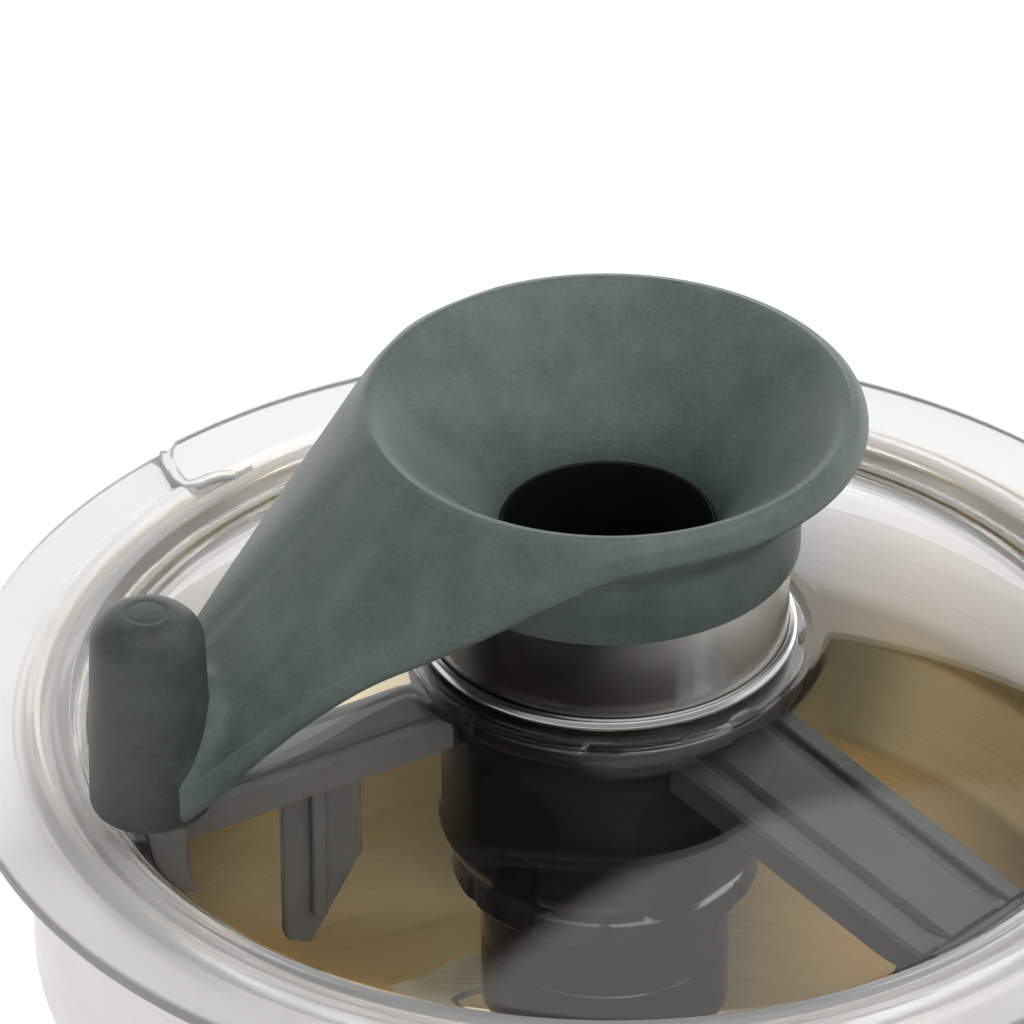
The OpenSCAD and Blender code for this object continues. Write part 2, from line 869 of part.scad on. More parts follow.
module cutter_hub() {
  flat = grip_r - grip_round;
  color("#1b1c1c") at_axis() difference() {
    union() {
      translate([0, 0, hub_low]) cylinder(r = hub_r, h = grip_low - hub_low + cut);
      translate([0, 0, shoulder_z]) cylinder(r = spacer_out, h = shoulder_t);
      rotate_extrude() {
        translate([0, grip_low]) square([grip_r, grip_h - grip_round]);
        translate([0, grip_low]) square([flat, grip_h]);
        translate([flat, grip_top - grip_round]) circle(r = grip_round);
      }
    }
    for (i = [0:grip_lobes - 1]) rotate([0, 0, i * 360 / grip_lobes])
      translate([grip_r + lobe_out, 0, grip_low - cut])
        cylinder(r = lobe_r, h = grip_h - grip_round + cut);
    translate([0, 0, hub_low - cut]) cylinder(r = bush_r + snug, h = tube_top - hub_low + 2 * cut);
    translate([0, 0, hub_low - cut])
      cylinder(r = coupling_r + loose, h = coupling_low + coupling_h + loose - hub_low + cut, $fn = 6);
  }
}

module hub_bush() {
  color("goldenrod") at_axis() tube(bush_r, tube_r + bowl_t + run, tube_top - bush_h, tube_top);
}

module blade(z, lean) {
  at_axis() difference() {
    translate([0, 0, z]) linear_extrude(blade_t) {
      circle(r = spacer_out);
      for (turn = [0, 180]) rotate(turn + lean) difference() {
        translate([blade_r / 2, 0]) circle(r = blade_r / 2);
        translate([blade_r / 2, -blade_bite]) circle(r = blade_r / 2);
      }
    }
    translate([0, 0, z - cut]) cylinder(r = spacer_in, h = blade_t + 2 * cut);
  }
}

module upper_blade() {
  color("lightsteelblue") blade(upper_blade_z, 90);
}

module lower_blade() {
  color("lightsteelblue") blade(lower_blade_z, 0);
}

module blade_spacer() {
  color("#1b1c1c") at_axis() tube(spacer_out, spacer_in, lower_blade_z + blade_t, upper_blade_z);
}

module blade_nut() {
  out_r = spacer_out + blade_nut_w;
  color("#1b1c1c") at_axis() difference() {
    tube(out_r, spacer_in, nut_low, nut_low + blade_nut_h);
    for (i = [0:3]) rotate([0, 0, 90 * i])
      translate([out_r, 0, nut_low - cut]) cylinder(r = spanner_r, h = blade_nut_h + 2 * cut);
  }
}

module lid_seal() {
  in_r = skirt_r - seal_groove + run;
  out_r = mouth_r - loose;
  color("white") at_lid() rotate_extrude($fn = 180) {
    translate([in_r, seal_z]) square([out_r - seal_bead - in_r, seal_h]);
    translate([out_r - seal_bead, seal_z + seal_h / 2]) circle(r = seal_bead, $fn = 32);
  }
}

module lid_section() {
  ledge_r = collar_r + loose - seat_ledge;
  slope_in = window_r - 1;
  difference() {
    union() {
      translate([skirt_in, -lid_t]) square([lid_r - skirt_in, lid_t]);
      translate([skirt_in, -lid_t]) square([deck_r - skirt_in, lid_t + deck_rise]);
      translate([skirt_in, -skirt_drop - lid_t]) square([lid_t, skirt_drop + lid_t]);
    }
    translate([groove_in, 0]) square([groove_out - groove_in, deck_rise + cut]);
    translate([skirt_r - seal_groove, seal_z - loose]) square([seal_groove + cut, seal_h + 2 * loose]);
  }
  polygon([[skirt_in, deck_rise], [skirt_in, deck_rise - lid_t - 1],
    [slope_in, window_z - lid_t], [slope_in, window_z]]);
  intersection() {
    translate([0, dome_cz]) difference() {
      circle(r = dome_r, $fn = 720);
      circle(r = dome_r - lid_t, $fn = 720);
    }
    translate([seat_out_r - 1, -lid_r]) square([window_r - seat_out_r + 1, 2 * lid_r]);
  }
  translate([ledge_r, dome_h - lid_t - seat_under])
    square([seat_out_r - ledge_r, lid_t + seat_under]);
}

// Sector of the rear lug, as a fan of corners well outside the lid
module lug_wedge() {
  step = (lug_to - lug_from) / lug_steps;
  fan = [for (i = [0:lug_steps]) 2 * lid_r * [cos(lug_from + step * i), sin(lug_from + step * i)]];
  translate([0, 0, -lid_t]) linear_extrude(2 * lid_t + deck_rise) polygon(concat([[0, 0]], fan));
}

module lid() {
  color("whitesmoke", 0.4) at_lid() {
    rotate_extrude($fn = 180) lid_section();
    intersection() {
      tube(lid_r, groove_in - 0.5, -lid_t / 2, deck_rise);
      lug_wedge();
    }
  }
}

module lid_collar() {
  ring_r = collar_ring_h / 2;
  ring_out = collar_r + collar_ring_w - ring_r;
  color("silver") at_lid() {
    tube(collar_r, collar_in, dome_h, collar_top);
    tube(spigot_r, collar_in, collar_low, dome_h + cut);
    rotate_extrude() {
      translate([collar_in + 1, dome_h]) square([ring_out - collar_in - 1, collar_ring_h]);
      translate([ring_out, dome_h + ring_r]) circle(r = ring_r, $fn = 32);
    }
  }
}

module collar_nut() {
  top = dome_h - lid_t - seat_under;
  color("whitesmoke", 0.5) at_lid() difference() {
    tube(nut_r, collar_r - seat_ledge, top - nut_h, top);
    for (i = [0:nut_notches - 1]) rotate([0, 0, i * 360 / nut_notches])
      translate([nut_r - notch_in, -notch_w / 2, top - nut_h - cut])
        cube([2 * notch_in, notch_w, nut_h + 2 * cut]);
  }
}

module funnel_section() {
  polygon([[throat_r, funnel_low], [throat_r, throat_h], lip_join, [lip_c, lip_z],
    [lip_c, lip_z - lip_roll + 0.1], [neck_r, slot_top + funnel_wall + 1], [neck_r, neck_low],
    [neck_in, neck_low], [neck_in, slot_top], [guide_r, slot_top], [guide_r, guide_low],
    [guide_in, guide_low], [guide_in, slot_top - 1], [tube_out, throat_h - funnel_wall],
    [tube_out, funnel_low]]);
  translate([lip_c, lip_z]) circle(r = lip_roll, $fn = 48);
}

// Space inside the funnel, kept clear of the lever plate
module funnel_void() {
  top = lip_h + lever_t;
  rotate_extrude() polygon([[0, funnel_low - cut], [throat_r, funnel_low - cut], [throat_r, throat_h],
    lip_join, [lip_join[0], top], [0, top]]);
}

// Half width and top of the lever plate, from 0 at the lip to 1 at the knob
function lever_half(f) = end_r + (lip_r - 2 - end_r) * pow(1 - f, 1.1);
function lever_top(f) = end_top + (lip_h - end_top) * (1 - pow(f, 1.28));

module lever_bar(f) {
  translate([lever_from + f * (knob_at - lever_from), 0, lever_top(f) - lever_rod])
    rotate([90, 0, 0])
      cylinder(r = lever_rod, h = 2 * lever_half(f), center = true, $fn = 24);
}

module lever_plate() {
  for (i = [0:lever_parts - 1]) hull() {
    lever_bar(i / lever_parts);
    lever_bar((i + 1) / lever_parts);
  }
}

module knob() {
  flat = knob_h - knob_edge;
  translate([knob_at, 0, knob_lift]) rotate_extrude() {
    polygon([[0, 0], [end_r - 2, 0], [end_r, 2], [knob_r, flat], [0, flat]]);
    translate([0, flat - cut]) square([knob_r - knob_edge, knob_edge + cut]);
    intersection() {
      translate([knob_r - knob_edge, flat]) circle(r = knob_edge, $fn = 48);
      translate([0, flat - knob_edge]) square([knob_r, 2 * knob_edge]);
    }
  }
}

module funnel_lever() {
  color("#55625a") at_lid() {
    difference() {
      rotate_extrude() funnel_section();
      translate([0, 0, ring_z])
        rotate_extrude() translate([guide_r - ring_r, 0]) circle(r = ring_r + snug, $fn = 32);
    }
    difference() {
      rotate([0, 0, lever_az]) lever_plate();
      funnel_void();
      translate([0, 0, funnel_low]) cylinder(r = neck_r - 0.5, h = slot_top - funnel_low + 2);
    }
    rotate([0, 0, lever_az]) knob();
  }
}

module funnel_ring() {
  color("black") at_lid() translate([0, 0, ring_z])
    rotate_extrude() translate([guide_r - ring_r, 0]) circle(r = ring_r, $fn = 32);
}

function arm_az(i) = lever_az + arm_lead + i * 360 / arms;

// Channel arm of width w that slopes down to the post of its wiper
module scraper_arm(w) {
  translate([arm_from, 0, arm_hi - arm_t]) rotate([0, arm_slope, 0]) {
    translate([0, -w / 2, 0]) cube([arm_l, w, arm_t]);
    for (side = [-1, 1])
      translate([0, side * (w - rib_t) / 2 - rib_t / 2, -rib_h]) cube([arm_l, rib_t, rib_h + cut]);
  }
  translate([arm_to - post_w, -wiper_w / 2, post_low]) cube([post_w, wiper_w, arm_lo - post_low]);
}

// Upright plate under the slim arm, cut slantwise towards its tip, with a stiffening rib
module paddle() {
  paddle_end = paddle_at + paddle_w;
  rib_at = paddle_end - paddle_tip;
  translate([0, rib_t / 2, 0]) rotate([90, 0, 0]) linear_extrude(rib_t)
    polygon([[paddle_at, paddle_top], [paddle_at, -paddle_cut], [rib_at, -paddle_drop],
      [paddle_end, -paddle_drop], [paddle_end, paddle_top]]);
  translate([rib_at - rib_t, 0, -paddle_cut]) cube([rib_t, rib_t / 2 + paddle_rib, paddle_cut + paddle_top]);
}

module scraper() {
  color("#2a2b2b") at_lid() difference() {
    union() {
      tube(scraper_r, scraper_in, funnel_low, scraper_top);
      tube(scraper_r, scraper_r - scraper_wall, -scraper_drop, scraper_top);
      for (i = [0:arms - 1]) rotate([0, 0, arm_az(i)]) scraper_arm(i == 0 ? slim_w : arm_w);
      rotate([0, 0, arm_az(0)]) paddle();
    }
    for (i = [0:slots - 1]) rotate([0, 0, lever_az + (i + 0.5) * 360 / slots])
      translate([scraper_r - 2 * scraper_wall, -slot_w / 2, -scraper_drop - cut])
        cube([3 * scraper_wall, slot_w, slot_h + cut]);
  }
}

// Flat back on the arm's post and one lip that reaches out to the bowl wall
module wall_wiper(i) {
  color("#3c3e3d") at_lid() rotate([0, 0, arm_az(i)])
    difference() {
      intersection() {
        translate([arm_to, -wiper_w / 2, -wiper_drop]) cube([wiper_w, wiper_w, wiper_drop + arm_lo - 1]);
        translate([0, 0, -wiper_drop - cut])
          cylinder(r = bowl_r - wiper_gap, h = wiper_drop, $fn = 180);
      }
      translate([arm_to + wiper_t, -wiper_w / 2 - cut, -wiper_drop - cut])
        cube([wiper_w, wiper_w - wiper_lip + cut, wiper_drop]);
    }
}

module wall_wiper_1() {
  wall_wiper(0);
}

module wall_wiper_2() {
  wall_wiper(1);
}

module wall_wiper_3() {
  wall_wiper(2);
}

base_housing();
base_plate();
feet();
base_screws();
bowl_seat();
motor_mount();
motor_frame();
motor_stator();
upper_bearing();
lower_bearing();
shaft_seal();
control_panel();
panel_screws();
button_bezels();
switch_blocks();
speed_control();
circuit_board();
power_inlet();
motor_shaft();
rotor_core();
cooling_fan();
drive_coupling();
bowl();
bowl_foot();
bowl_handle();
handle_bolts();
cutter_hub();
hub_bush();
upper_blade();
lower_blade();
blade_spacer();
blade_nut();
lid_seal();
lid();
lid_collar();
collar_nut();
funnel_lever();
funnel_ring();
scraper();
wall_wiper_1();
wall_wiper_2();
wall_wiper_3();
start_button();
stop_button();
pulse_button();
speed_dial();
speed_spindle();
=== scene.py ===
import json
import math
import bpy
from mathutils import Matrix, Vector


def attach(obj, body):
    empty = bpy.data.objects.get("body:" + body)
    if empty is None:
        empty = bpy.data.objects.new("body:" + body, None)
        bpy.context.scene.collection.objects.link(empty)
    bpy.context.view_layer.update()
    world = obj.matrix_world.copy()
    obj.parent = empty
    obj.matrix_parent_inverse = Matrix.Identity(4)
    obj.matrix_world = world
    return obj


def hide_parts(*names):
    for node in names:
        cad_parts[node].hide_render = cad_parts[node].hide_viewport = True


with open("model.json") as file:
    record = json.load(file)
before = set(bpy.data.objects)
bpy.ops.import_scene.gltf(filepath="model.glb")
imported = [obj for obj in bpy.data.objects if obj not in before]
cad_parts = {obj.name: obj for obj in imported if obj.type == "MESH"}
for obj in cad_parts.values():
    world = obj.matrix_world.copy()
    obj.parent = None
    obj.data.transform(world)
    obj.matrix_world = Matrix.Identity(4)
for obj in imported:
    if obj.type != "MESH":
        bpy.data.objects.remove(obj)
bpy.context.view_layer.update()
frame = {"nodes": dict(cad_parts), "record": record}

# Sizes are in millimetres, as in the part's source; MM turns them into metres
MM = 0.001
AXIS_Y = 32.0
LID_Z = 368.1
DECK_Z = 186.0
LEVER_AZ = 207.0
ARM_AZ = LEVER_AZ - 10.0
PANEL_TILT = math.atan2(112.0, 74.0)
PANEL_AT = Vector((0, -124.3266, 134.7336))
DIAL_X = -65.0
BUTTON_XS = (-6.0, 34.0, 74.0)
BUTTON_HOLE_R = 11.3
DIAL_HOLE_R = 5.3
ON_AXIS = (0.0, AXIS_Y)
AT_ORIGIN = (0.0, 0.0)
SMOOTH = math.radians(32)


# Hand tools of the mesh bench

def deselect():
    if bpy.context.mode != "OBJECT":
        bpy.ops.object.mode_set(mode="OBJECT")
    bpy.ops.object.select_all(action="DESELECT")


def named(piece, name):
    """Gives a piece and its mesh their name."""
    piece.name = name
    piece.data.name = name
    return piece


def take(piece):
    """Makes one piece the only selected and the active one."""
    deselect()
    piece.hide_set(False)
    piece.select_set(True)
    bpy.context.view_layer.objects.active = piece
    return piece


def edit(piece):
    take(piece)
    bpy.ops.object.mode_set(mode="EDIT")
    bpy.ops.mesh.select_all(action="SELECT")


def close_up(piece, angle=SMOOTH):
    """Merges the seams, turns the faces outwards and smooths all but the sharp edges."""
    edit(piece)
    bpy.ops.mesh.remove_doubles(threshold=2e-6)
    bpy.ops.mesh.normals_make_consistent(inside=False)
    bpy.ops.object.mode_set(mode="OBJECT")
    bpy.ops.object.shade_smooth_by_angle(angle=angle)
    return piece


def drawn(name, points):
    """Starts a piece as one vertex and extrudes it along the points; it stays in edit mode."""
    deselect()
    bpy.ops.mesh.primitive_plane_add(size=MM, location=(0, 0, 0))
    piece = named(bpy.context.object, name)
    bpy.ops.object.mode_set(mode="EDIT")
    bpy.ops.mesh.select_all(action="SELECT")
    bpy.ops.mesh.merge(type="CENTER")
    spots = [Vector(p) * MM for p in points]
    bpy.ops.transform.translate(value=spots[0])
    for a, b in zip(spots, spots[1:]):
        bpy.ops.mesh.extrude_vertices_move(TRANSFORM_OT_translate={"value": b - a})
    return piece


def turned(name, outline, steps=96, at=ON_AXIS, lift=0.0, closed=True):
    """Spins an outline of (radius, height) about an upright axis."""
    ring = list(outline) + ([outline[0]] if closed else [])
    piece = drawn(name, [(at[0] + r, at[1], z + lift) for r, z in ring])
    bpy.ops.mesh.select_all(action="SELECT")
    bpy.ops.mesh.spin(steps=steps, angle=2 * math.pi, center=(at[0] * MM, at[1] * MM, 0), axis=(0, 0, 1))
    return close_up(piece)


def plug(radius, low, high, steps=48, at=AT_ORIGIN):
    """A plain upright cylinder to cut holes with."""
    return turned("plug", [(0, low), (radius, low), (radius, high), (0, high)], steps, at=at, closed=False)


def raised(name, plan, low, high):
    """Fills a closed plan of (x, y) and extrudes it upwards."""
    piece = drawn(name, [(x, y, low) for x, y in plan])
    bpy.ops.mesh.select_all(action="SELECT")
    bpy.ops.mesh.edge_face_add()
    bpy.ops.mesh.extrude_region_move(TRANSFORM_OT_translate={"value": (0, 0, (high - low) * MM)})
    return close_up(piece)


def lofted(name, rows):
    """Moves a grid's vertices to the rows of points, and merges where rows or ends meet."""
    deselect()
    bpy.ops.mesh.primitive_grid_add(x_subdivisions=len(rows[0]) - 1, y_subdivisions=len(rows) - 1, size=1)
    piece = named(bpy.context.object, name)
    piece.data.vertices.foreach_set("co", [c * MM for row in rows for point in row for c in point])
    piece.data.update()
    return close_up(piece)


def capped(piece, angle=SMOOTH):
    """Fills the open ends of a lofted piece."""
    edit(piece)
    bpy.ops.mesh.select_all(action="DESELECT")
    bpy.ops.mesh.select_non_manifold()
    bpy.ops.mesh.edge_face_add()
    return close_up(piece, angle)


def cube(name, low, high):
    deselect()
    size = Vector(high) - Vector(low)
    middle = (Vector(high) + Vector(low)) / 2
    bpy.ops.mesh.primitive_cube_add(size=1, location=middle * MM, scale=size * MM)
    piece = named(bpy.context.object, name)
    bpy.ops.object.transform_apply(location=True, rotation=True, scale=True)
    return piece


def pick_edges(piece, wanted):
    """Leaves the piece in edit mode with the edges selected whose middle and direction are wanted."""
    edit(piece)
    bpy.ops.mesh.select_mode(type="EDGE")
    bpy.ops.mesh.select_all(action="DESELECT")
    bpy.ops.object.mode_set(mode="OBJECT")
    for line in piece.data.edges:
        a, b = (piece.data.vertices[i].co / MM for i in line.vertices)
        line.select = bool(wanted((a + b) / 2, (b - a).normalized()))
    bpy.ops.object.mode_set(mode="EDIT")


def eased(piece, wanted, width, segments=3):
    """Rounds the wanted edges."""
    pick_edges(piece, wanted)
    bpy.ops.mesh.bevel(offset=width * MM, segments=segments, profile=0.5, affect="EDGES", clamp_overlap=True)
    bpy.ops.mesh.select_mode(type="VERT")
    return close_up(piece)


def softened(piece, width, segments=2, angle=40):
    """Rounds every sharp edge with a bevel modifier, which is applied."""
    take(piece)
    bevel = piece.modifiers.new("soft_edges", "BEVEL")
    bevel.width = width * MM
    bevel.segments = segments
    bevel.limit_method = "ANGLE"
    bevel.angle_limit = math.radians(angle)
    bevel.use_clamp_overlap = True
    bpy.ops.object.modifier_apply(modifier=bevel.name)
    return close_up(piece)


def shaped(piece, tool, operation="DIFFERENCE"):
    """Cuts a tool out of a piece or fuses it on, and removes the tool."""
    take(piece)
    step = piece.modifiers.new("shape", "BOOLEAN")
    step.operation = operation
    step.solver = "EXACT"
    step.object = tool
    bpy.ops.object.modifier_apply(modifier=step.name)
    bpy.data.objects.remove(tool)
    return close_up(piece)


def joined(name, pieces):
    """Joins pieces into one object of several closed shells."""
    deselect()
    for piece in pieces:
        piece.select_set(True)
    bpy.context.view_layer.objects.active = pieces[0]
    bpy.ops.object.join()
    return named(pieces[0], name)


def copied(piece, name):
    """A copy with its own mesh."""
    twin = piece.copy()
    twin.data = piece.data.copy()
    bpy.context.scene.collection.objects.link(twin)
    return named(twin, name)


def settled(piece, place):
    """Puts a piece in its place and bakes the place into its mesh."""
    take(piece)
    piece.matrix_world = place
    bpy.ops.object.transform_apply(location=True, rotation=True, scale=True)
    return piece


def on_panel(piece, x, y=0.0, up=2.0):
    """Carries a piece made round the origin to its place on the sloped panel."""
    turn = Matrix.Rotation(PANEL_TILT, 4, "X")
    spot = PANEL_AT + turn @ Vector((x, y, up))
    return settled(piece, Matrix.Translation(spot * MM) @ turn)


def round_axis(degrees):
    """A turn about the machine's axis."""
    return Matrix.Translation((0, AXIS_Y * MM, 0)) @ Matrix.Rotation(math.radians(degrees), 4, "Z")


def about_lid(piece, degrees):
    """Turns a piece made along +X of the lid's axis, at lid height, to its azimuth."""
    turn = Matrix.Rotation(math.radians(degrees), 4, "Z")
    return settled(piece, Matrix.Translation(Vector((0, AXIS_Y, LID_Z)) * MM) @ turn)


def rounded(corners, steps=4):
    """A closed outline in which each corner (across, up, radius) becomes an arc."""
    made = []
    count = len(corners)
    for i, corner in enumerate(corners):
        spot = Vector(corner[:2])
        radius = corner[2] if len(corner) > 2 else 0
        if radius <= 0:
            made.append(tuple(spot))
            continue
        back = (Vector(corners[i - 1][:2]) - spot).normalized()
        ahead = (Vector(corners[(i + 1) % count][:2]) - spot).normalized()
        half = back.angle(ahead) / 2
        centre = spot + (back + ahead).normalized() * (radius / math.sin(half))
        first = spot + back * (radius / math.tan(half)) - centre
        last = spot + ahead * (radius / math.tan(half)) - centre
        sweep = first.angle(last)
        for k in range(steps + 1):
            share = k / steps
            mix = first * math.sin((1 - share) * sweep) + last * math.sin(share * sweep)
            made.append(tuple(centre + mix / math.sin(sweep)))
    return made


def between(table, x):
    """Smooth value at x of a table of (x, value) in rising x."""
    if x <= table[0][0]:
        return table[0][1]
    for i in range(len(table) - 1):
        (x0, y0), (x1, y1) = table[i], table[i + 1]
        if x <= x1:
            before = table[max(i - 1, 0)]
            after = table[min(i + 2, len(table) - 1)]
            m0 = (y1 - before[1]) / (x1 - before[0])
            m1 = (after[1] - y0) / (after[0] - x0)
            h = x1 - x0
            t = (x - x0) / h
            return ((2 * t**3 - 3 * t**2 + 1) * y0 + (t**3 - 2 * t**2 + t) * h * m0
                    + (3 * t**2 - 2 * t**3) * y1 + (t**3 - t**2) * h * m1)
    return table[-1][1]


def polar(radius, degrees, y=0.0):
    """The place at a radius and an angle round (0, y)."""
    a = math.radians(degrees)
    return radius * math.cos(a), y + radius * math.sin(a)


def arc(centre, radius, start, end, steps):
    """Points of an arc, angles in degrees."""
    made = []
    for k in range(steps + 1):
        across, up = polar(radius, start + (end - start) * k / steps)
        made.append((centre[0] + across, centre[1] + up))
    return made


# Finishes

def new_group(name, sockets_in, sockets_out):
    tree = bpy.data.node_groups.new(name, "ShaderNodeTree")
    for label, kind, value in sockets_in:
        socket = tree.interface.new_socket(label, in_out="INPUT", socket_type="NodeSocket" + kind)
        socket.default_value = value
    for label, kind in sockets_out:
        tree.interface.new_socket(label, in_out="OUTPUT", socket_type="NodeSocket" + kind)
    given = tree.nodes.new("NodeGroupInput").outputs
    leave = tree.nodes.new("NodeGroupOutput").inputs
    return tree, given, leave


def feed(tree, socket, value):
    """Sets a socket to a plain value or links it to another node's output."""
    if isinstance(value, (int, float, tuple)):
        socket.default_value = value
    else:
        tree.links.new(value, socket)


def math_node(tree, operation, a, b=None, clamp=False):
    node = tree.nodes.new("ShaderNodeMath")
    node.operation = operation
    node.use_clamp = clamp
    feed(tree, node.inputs[0], a)
    if b is not None:
        feed(tree, node.inputs[1], b)
    return node.outputs[0]


def add(tree, a, b, clamp=False):
    return math_node(tree, "ADD", a, b, clamp)


def times(tree, a, b):
    return math_node(tree, "MULTIPLY", a, b)


def largest(tree, a, b):
    return math_node(tree, "MAXIMUM", a, b)


def noise_node(tree, vector, scale, detail=3.0, roughness=0.55):
    node = tree.nodes.new("ShaderNodeTexNoise")
    node.inputs["Detail"].default_value = detail
    node.inputs["Roughness"].default_value = roughness
    feed(tree, node.inputs["Vector"], vector)
    feed(tree, node.inputs["Scale"], scale)
    return node.outputs["Fac"]


def range_node(tree, value, low, high, out_low=0.0, out_high=1.0):
    node = tree.nodes.new("ShaderNodeMapRange")
    labels = ("Value", "From Min", "From Max", "To Min", "To Max")
    for label, number in zip(labels, (value, low, high, out_low, out_high)):
        feed(tree, node.inputs[label], number)
    return node.outputs["Result"]


def mix_node(tree, share, a, b):
    node = tree.nodes.new("ShaderNodeMix")
    node.data_type = "RGBA"
    tree.links.new(share, node.inputs["Factor"])
    tree.links.new(a, node.inputs[6])
    tree.links.new(b, node.inputs[7])
    return node.outputs[2]


COLOURS_IN = [("Colour", "Color", (0.5, 0.5, 0.5, 1)), ("Second", "Color", (0.6, 0.6, 0.6, 1))]
FINISH_OUT = [("Colour", "Color"), ("Roughness", "Float"), ("Height", "Float")]


def put_out(tree, leave, colour, roughness, height):
    """Joins an effect's three results to the group's way out."""
    tree.links.new(colour, leave["Colour"])
    tree.links.new(roughness, leave["Roughness"])
    tree.links.new(height, leave["Height"])
    return tree


def moulded_group():
    """Moulded plastic or rubber: soft mottle, fine grain, a few scuffs."""
    tree, given, leave = new_group("moulded_grain", COLOURS_IN + [
        ("Grain", "Float", 900.0), ("Mottle", "Float", 60.0), ("Smooth", "Float", 0.4),
        ("Rough", "Float", 0.6)], FINISH_OUT)
    where = tree.nodes.new("ShaderNodeTexCoord").outputs["Object"]
    cloud = noise_node(tree, where, given["Mottle"], 4.0, 0.6)
    grain = noise_node(tree, where, given["Grain"], 2.0, 0.5)
    scuff = noise_node(tree, where, times(tree, given["Mottle"], 5.0), 5.0, 0.7)
    clouded = range_node(tree, cloud, 0.32, 0.7, 0.0, 0.6)
    mottle = add(tree, clouded, range_node(tree, grain, 0.35, 0.7, 0.0, 0.3))
    marks = add(tree, mottle, range_node(tree, scuff, 0.6, 0.8, 0.0, 0.35), clamp=True)
    colour = mix_node(tree, marks, given["Colour"], given["Second"])
    worn = add(tree, times(tree, cloud, 0.6), times(tree, scuff, 0.4))
    dull = range_node(tree, worn, 0.3, 0.7, given["Smooth"], given["Rough"])
    height = add(tree, times(tree, grain, 0.7), times(tree, scuff, 0.3))
    return put_out(tree, leave, colour, dull, height)


def about_axis(tree):
    """Object coordinates, with the angle, radius and height of each place about the machine's axis."""
    where = tree.nodes.new("ShaderNodeTexCoord").outputs["Object"]
    shift = tree.nodes.new("ShaderNodeMapping")
    shift.inputs["Location"].default_value = (0, -AXIS_Y * MM, 0)
    tree.links.new(where, shift.inputs["Vector"])
    split = tree.nodes.new("ShaderNodeSeparateXYZ")
    tree.links.new(shift.outputs["Vector"], split.inputs["Vector"])
    angle = math_node(tree, "ARCTAN2", split.outputs["Y"], split.outputs["X"])
    wide = math_node(tree, "POWER", split.outputs["X"], 2.0)
    deep = math_node(tree, "POWER", split.outputs["Y"], 2.0)
    radius = math_node(tree, "SQRT", add(tree, wide, deep))
    return where, angle, radius, split.outputs["Z"]


def turned_group(name, lined=False):
    """Metal brushed round the axis: fine rings, streaks and soft stains; a lined one has a warmer inside."""
    lining = [("Inner", "Color", (0.5, 0.4, 0.3, 1)), ("Inner Second", "Color", (0.6, 0.5, 0.4, 1))]
    tree, given, leave = new_group(name, COLOURS_IN + (lining if lined else []) + [
        ("Rings", "Float", 2600.0), ("Smooth", "Float", 0.22), ("Rough", "Float", 0.4)], FINISH_OUT)
    where, angle, radius, height = about_axis(tree)
    along = tree.nodes.new("ShaderNodeCombineXYZ")
    tree.links.new(times(tree, angle, 0.001), along.inputs["X"])
    tree.links.new(radius, along.inputs["Y"])
    tree.links.new(height, along.inputs["Z"])
    fine = noise_node(tree, along.outputs["Vector"], given["Rings"], 3.0, 0.6)
    broad = noise_node(tree, along.outputs["Vector"], times(tree, given["Rings"], 0.12), 3.0, 0.6)
    stain = noise_node(tree, where, 26.0, 3.0, 0.5)
    streak = add(tree, times(tree, fine, 0.75), times(tree, broad, 0.25))
    streaked = range_node(tree, streak, 0.35, 0.65, 0.0, 0.8)
    tone = add(tree, streaked, range_node(tree, stain, 0.35, 0.7, 0.0, 0.2), clamp=True)
    colour = mix_node(tree, tone, given["Colour"], given["Second"])
    if lined:
        # The inside lies nearer the axis than the middle of the wall, which widens at the bowl's shoulder
        wall = range_node(tree, height, 0.3008, 0.3188, 0.0971, 0.1062)
        inside = math_node(tree, "LESS_THAN", radius, wall)
        warm = mix_node(tree, tone, given["Inner"], given["Inner Second"])
        colour = mix_node(tree, inside, colour, warm)
    worn = times(tree, add(tree, streak, stain), 0.5)
    dull = range_node(tree, worn, 0.35, 0.65, given["Smooth"], given["Rough"])
    return put_out(tree, leave, colour, dull, streak)


def brushed_group():
    """Sheet metal brushed one way, with soft handling marks."""
    tree, given, leave = new_group("brushed_sheet", COLOURS_IN + [
        ("Lines", "Float", 1500.0), ("Smooth", "Float", 0.28), ("Rough", "Float", 0.45)], FINISH_OUT)
    where = tree.nodes.new("ShaderNodeTexCoord").outputs["Object"]
    squash = tree.nodes.new("ShaderNodeMapping")
    squash.inputs["Scale"].default_value = (0.02, 1.0, 1.0)
    tree.links.new(where, squash.inputs["Vector"])
    lines = noise_node(tree, squash.outputs["Vector"], given["Lines"], 3.0, 0.6)
    marks = noise_node(tree, where, 32.0, 4.0, 0.6)
    streaked = range_node(tree, lines, 0.35, 0.65, 0.0, 0.75)
    tone = add(tree, streaked, range_node(tree, marks, 0.4, 0.7, 0.0, 0.25), clamp=True)
    colour = mix_node(tree, tone, given["Colour"], given["Second"])
    dull = range_node(tree, marks, 0.3, 0.7, given["Smooth"], given["Rough"])
    return put_out(tree, leave, colour, dull, lines)


